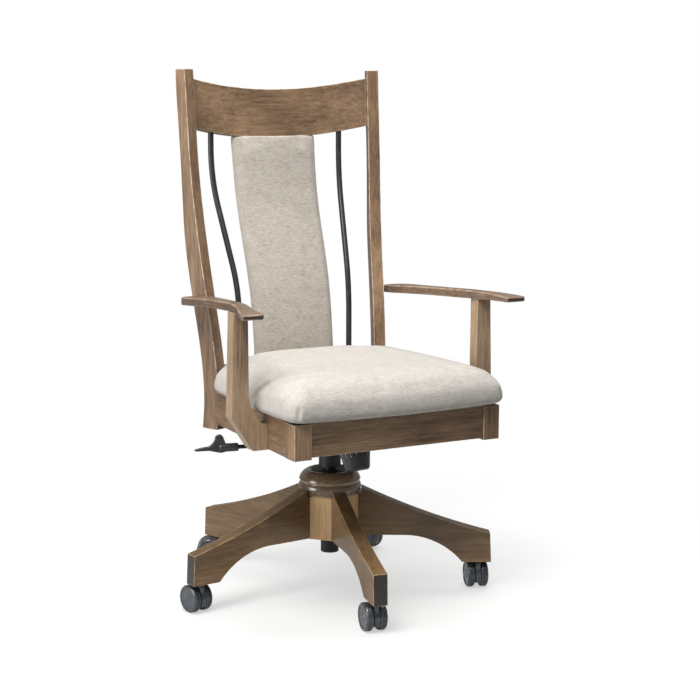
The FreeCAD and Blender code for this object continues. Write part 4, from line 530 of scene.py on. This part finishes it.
# CAD nodes that stay and only get their material
keptPieces = dict.fromkeys(["lift_rod", "tilt_pin", "tilt_spring", "support_screws", "tension_bolt"],
                           zincSteel)
keptPieces.update({"caster_axle_%d" % k: zincSteel for k in legNumbers})
keptPieces.update({"caster_stems": stemSteel, "cross_cleats": rawPly, "seat_board": rawPly})
for node, material in keptPieces.items():
    nodes[node].data.materials.clear()
    nodes[node].data.materials.append(material)
print("metal and plastic finished")


# Back rods: upright foot and top, the middle leaning back and out between two wide bends,
# each given by the height of its corner and its radius
backRod = {
    "radius": 0.0065, "foot": (0.1402, 0.1670, 0.481), "top": (0.1634, 0.2610, 1.018),
    "bends": ((0.6565, 0.340), (0.9057, 0.360)), "bendSteps": 24, "roundSteps": 7, "smooth": 40,
}


def roundedPath(knots, radii, steps):
    # straight runs between the knots, each inner knot rounded by an arc of its own radius
    path = [knots[0]]
    for before, knot, after, radius in zip(knots, knots[1:], knots[2:], radii):
        arrive = (knot - before).normalized()
        leave = (after - knot).normalized()
        turn = arrive.angle(leave)
        side = (leave - arrive * arrive.dot(leave)).normalized()
        start = knot - arrive * (radius * math.tan(turn / 2))
        for step in range(steps + 1):
            angle = turn * step / steps
            onward = arrive * (radius * math.sin(angle))
            path.append(start + onward + side * (radius * (1 - math.cos(angle))))
    return path + [knots[-1]]


def tubeAlong(name, path, look, material):
    bpy.ops.object.select_all(action="DESELECT")
    bpy.ops.curve.primitive_nurbs_path_add()
    curve = bpy.context.object
    curve.data.splines.clear()
    spline = curve.data.splines.new("POLY")
    spline.points.add(len(path) - 1)
    for point, place in zip(spline.points, path):
        point.co = (place.x, place.y, place.z, 1)
    curve.data.bevel_depth = look["radius"]
    curve.data.bevel_resolution = look["roundSteps"]
    curve.data.use_fill_caps = True
    bpy.ops.object.convert(target="MESH")
    piece = bpy.context.object
    piece.name = piece.data.name = name
    piece.data.materials.append(material)
    bpy.ops.object.shade_smooth_by_angle(angle=math.radians(look["smooth"]))
    return piece


for side, word in ((-1, "right"), (1, "left")):
    foot, top = (Vector((side * x, y, z)) for x, y, z in (backRod["foot"], backRod["top"]))
    (lowZ, lowRadius), (highZ, highRadius) = backRod["bends"]
    knots = [foot, Vector((foot.x, foot.y, lowZ)), Vector((top.x, top.y, highZ)), top]
    path = roundedPath(knots, (lowRadius, highRadius), backRod["bendSteps"])
    rod = tubeAlong("back_rod_%s_tube" % word, path, backRod, gunmetal)
    finishPiece(rod, "seat", "rod_metal", "back_rod_" + word)
print("back rods bent")


def editMode(piece):
    pickOnly(piece)
    bpy.ops.object.mode_set(mode="EDIT")
    bpy.ops.mesh.select_mode(type="FACE")
    bpy.ops.mesh.select_all(action="DESELECT")


def selectFaces(piece, test):
    # select the faces whose centre and normal pass the test
    bpy.ops.mesh.select_all(action="DESELECT")
    work = bmesh.from_edit_mesh(piece.data)
    for face in work.faces:
        if test(face.calc_center_median(), face.normal):
            face.select_set(True)
    work.select_flush_mode()
    bmesh.update_edit_mesh(piece.data)


def cutAcross(height):
    bpy.ops.mesh.select_all(action="SELECT")
    bpy.ops.mesh.bisect(plane_co=(0, 0, height), plane_no=(0, 0, 1))


# Caster wheel, made once with its axle along Z and its inner face at inner
casterWheel = {
    "radius": 0.030, "width": 0.0168, "inner": 0.0064, "around": 96,
    "rimRound": 0.0046, "innerRound": 0.0048, "roundSteps": 5, "smooth": 28,
    "grooves": (0.0124, 0.0148, 0.0170), "grooveWide": 0.0008, "grooveDeep": 0.0006,
    # faces with less of their normal along the axle look across it, with more along it
    "across": 0.5, "along": 0.9,
    # (inset, step) from the rim to the middle of the outer face, and of the inner face
    "face": ((0.0012, 0.0), (0.0012, -0.0013), (0.0130, 0.0), (0.0008, 0.0007), (0.0030, 0.0),
             (0.0006, -0.0005)),
    "back": ((0.0015, 0.0), (0.0010, -0.0030), (0.0105, 0.0), (0.0010, 0.0030)),
}


def roundAndInset(piece, look, way, rounding, insets):
    # the end face looks along the axle and has its centre on it: round its edge, step it inward
    def isEnd(centre, normal):
        return normal.z * way > look["along"] and centre.xy.length < look["inner"]

    selectFaces(piece, isEnd)
    bpy.ops.mesh.bevel(offset=rounding, segments=look["roundSteps"], affect="EDGES")
    selectFaces(piece, isEnd)
    for thickness, depth in insets:
        bpy.ops.mesh.inset(thickness=thickness, depth=depth)


def makeWheel(look):
    bpy.ops.object.select_all(action="DESELECT")
    bpy.ops.mesh.primitive_cylinder_add(vertices=look["around"], radius=look["radius"], depth=look["width"],
                                        location=(0, 0, look["inner"] + look["width"] / 2))
    wheel = bpy.context.object
    bpy.ops.object.transform_apply(location=True, rotation=True, scale=True)
    editMode(wheel)
    for low in look["grooves"]:
        high = low + look["grooveWide"]
        cutAcross(low)
        cutAcross(high)
        selectFaces(wheel, lambda c, n: abs(n.z) < look["across"] and low < c.z < high)
        bpy.ops.mesh.extrude_region_shrink_fatten(TRANSFORM_OT_shrink_fatten={"value": -look["grooveDeep"]})
    roundAndInset(wheel, look, 1, look["rimRound"], look["face"])
    roundAndInset(wheel, look, -1, look["innerRound"], look["back"])
    bpy.ops.object.mode_set(mode="OBJECT")
    bpy.ops.object.shade_smooth_by_angle(angle=math.radians(look["smooth"]))
    return wheel


def jointOf(name):
    return next(j for j in frame["joints"] if j["name"] == name)


def middle(node):
    low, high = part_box(node)
    return (Vector(low) + Vector(high)) / 2


def copyTo(pattern, name, place, direction, material):
    # a copy with its own mesh, its Z brought to the direction and its origin to the place
    piece = pattern.copy()
    piece.data = pattern.data.copy()
    piece.name = piece.data.name = name
    bpy.context.scene.collection.objects.link(piece)
    turn = Vector(direction).to_track_quat("Z", "Y").to_matrix().to_4x4()
    piece.data.transform(Matrix.Translation(place) @ turn)
    piece.data.materials.clear()
    piece.data.materials.append(material)
    return piece


wheelPattern = makeWheel(casterWheel)
for k in legNumbers:
    for letter in "ab":
        node = "caster_wheel_%d_%s" % (k, letter)
        axle = Vector(jointOf("wheel_roll_%d_%s" % (k, letter))["pos_m"])
        wheel = copyTo(wheelPattern, node + "_moulded", axle, middle(node) - axle, casterNylon)
        finishPiece(wheel, "wheel_%d_%s" % (k, letter), "caster_plastic", node)
bpy.data.objects.remove(wheelPattern)
print("casters moulded")


# Lever handle: the CAD shape run together into one soft moulding
leverHandle = {"voxel": 0.0013, "smoothBy": 0.5, "smoothTimes": 7}
handle = mergedCopy("lever_handle", "lever_handle_moulded", 0)
applyModifier(handle, "REMESH", mode="VOXEL", voxel_size=leverHandle["voxel"])
applyModifier(handle, "SMOOTH", factor=leverHandle["smoothBy"], iterations=leverHandle["smoothTimes"])
handle.data.materials.append(blackPlastic)
pickOnly(handle)
bpy.ops.object.shade_smooth()
finishPiece(handle, "lever", "black_plastic", "lever_handle")


# Hex bolts that hold the seat bracket to the cleats, seen from below: radii of head and washer
bracketBolt = {
    "head": 0.0065, "height": 0.0045, "washer": 0.0085, "washerThick": 0.0012, "plate": 0.004,
    "around": 32, "sides": 6, "edge": 0.0004, "edgeSteps": 2, "edgeAngle": 40,
    "spacing": (0.072, 0.078),
}


def makeBolt(look):
    bpy.ops.object.select_all(action="DESELECT")
    bpy.ops.mesh.primitive_cylinder_add(vertices=look["around"], radius=look["washer"],
                                        depth=look["washerThick"],
                                        location=(0, 0, look["washerThick"] / 2))
    bolt = bpy.context.object
    bpy.ops.object.transform_apply(location=True, rotation=True, scale=True)
    editMode(bolt)
    bpy.ops.mesh.primitive_cylinder_add(vertices=look["sides"], radius=look["head"], depth=look["height"],
                                        location=(0, 0, look["washerThick"] + look["height"] / 2))
    bpy.ops.object.mode_set(mode="OBJECT")
    applyModifier(bolt, "BEVEL", width=look["edge"], segments=look["edgeSteps"], limit_method="ANGLE",
                  angle_limit=math.radians(look["edgeAngle"]))
    return bolt


boltPattern = makeBolt(bracketBolt)
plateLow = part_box("seat_bracket")[1][2] - bracketBolt["plate"]
spaceX, spaceY = bracketBolt["spacing"]
for x, sideWord in ((-spaceX, "r"), (spaceX, "l")):
    for y, endWord in ((-spaceY, "f"), (spaceY, "b")):
        head = copyTo(boltPattern, "bracket_bolt_" + sideWord + endWord, Vector((x, y, plateLow)),
                      (0, 0, -1), zincSteel)
        finishPiece(head, "seat", "bright_steel")
bpy.data.objects.remove(boltPattern)
print("handle and bolts made")


# Stage: a pale floor that fades into white surroundings
stageLook = {
    "floor": "#F2F2F1", "roughness": 0.8, "specular": 0.1, "clear": 0.55,
    "fadeStart": 0.55, "fadeEnd": 1.35, "margin": 0.2, "around": 96, "sky": 0.25,
}
floorMaterial, floorTree = newMaterial("pale studio floor")
floorPlace = addNode(floorTree, "TexCoord", {})
fromMiddle = addNode(floorTree, "VectorMath", {"operation": "LENGTH"}, [(0, floorPlace, "Object")])
fade = addNode(floorTree, "MapRange", {"interpolation_type": "SMOOTHSTEP",
                                       "From Min": stageLook["fadeStart"],
                                       "From Max": stageLook["fadeEnd"],
                                       "To Min": stageLook["clear"]},
               [("Value", fromMiddle, "Value")])
floorShader = addNode(floorTree, "BsdfPrincipled", {"Base Color": linear(stageLook["floor"]),
                                                    "Roughness": stageLook["roughness"],
                                                    "Specular IOR Level": stageLook["specular"]})
clear = addNode(floorTree, "BsdfTransparent", {})
floorMix = addNode(floorTree, "MixShader", {}, [(0, fade, "Result"), (1, floorShader, "BSDF"),
                                                (2, clear, "BSDF")])
addNode(floorTree, "OutputMaterial", {}, [("Surface", floorMix, "Shader")])
bpy.ops.object.select_all(action="DESELECT")
bpy.ops.mesh.primitive_circle_add(vertices=stageLook["around"], fill_type="NGON",
                                  radius=stageLook["fadeEnd"] + stageLook["margin"])
floor = bpy.context.object
floor.name = "studio_floor"
floor.data.materials.append(floorMaterial)

# The surroundings look white to the eye and light the chair only weakly
world = bpy.data.worlds.new("studio")
bpy.context.scene.world = world
world.use_nodes = True
worldTree = world.node_tree
worldTree.nodes.clear()
rays = addNode(worldTree, "LightPath", {})
seen = addNode(worldTree, "Background", {"Color": (1, 1, 1, 1), "Strength": 1.0})
lighting = addNode(worldTree, "Background", {"Color": (1, 1, 1, 1), "Strength": stageLook["sky"]})
worldMix = addNode(worldTree, "MixShader", {}, [(0, rays, "Is Camera Ray"), (1, lighting, "Background"),
                                                (2, seen, "Background")])
addNode(worldTree, "OutputWorld", {}, [("Surface", worldMix, "Shader")])

# One large soft box above and ahead, a wider one on top, a weak one low at the sitter's right:
# place, aim, diameter and power
softBoxes = {
    "key_above_left": ((-1.6, -1.2, 3.2), (0, 0, 0.6), 1.8, 112),
    "top": ((0.5, 0.2, 3.4), (0, 0, 0.4), 2.4, 74),
    "fill_left": ((-3.0, 0.2, 0.7), (0, 0, 0.6), 1.5, 38),
}
for name, (place, aim, size, power) in softBoxes.items():
    bpy.ops.object.light_add(type="AREA", location=place)
    lamp = bpy.context.object
    lamp.name = name
    lamp.data.shape = "DISK"
    lamp.data.size = size
    lamp.data.energy = power
    lamp.rotation_euler = (Vector(aim) - Vector(place)).to_track_quat("-Z", "Y").to_euler()

# The camera fitted to the photograph: degrees down from level and degrees turned from +Y
photoCamera = {"place": (-1.6812, -3.0991, 1.0843), "down": 8.812, "turn": -27.968,
               "sensor": 36, "lens": 83.68, "shift": 0.0491}
bpy.ops.object.camera_add(location=photoCamera["place"],
                          rotation=(math.radians(90 - photoCamera["down"]), 0,
                                    math.radians(photoCamera["turn"])))
camera = bpy.context.object
camera.name = "photo_camera"
camera.data.sensor_width = photoCamera["sensor"]
camera.data.lens = photoCamera["lens"]
camera.data.shift_x = photoCamera["shift"]
bpy.context.scene.camera = camera
bpy.context.scene.view_settings.view_transform = "Standard"
print("stage, lights and camera set")
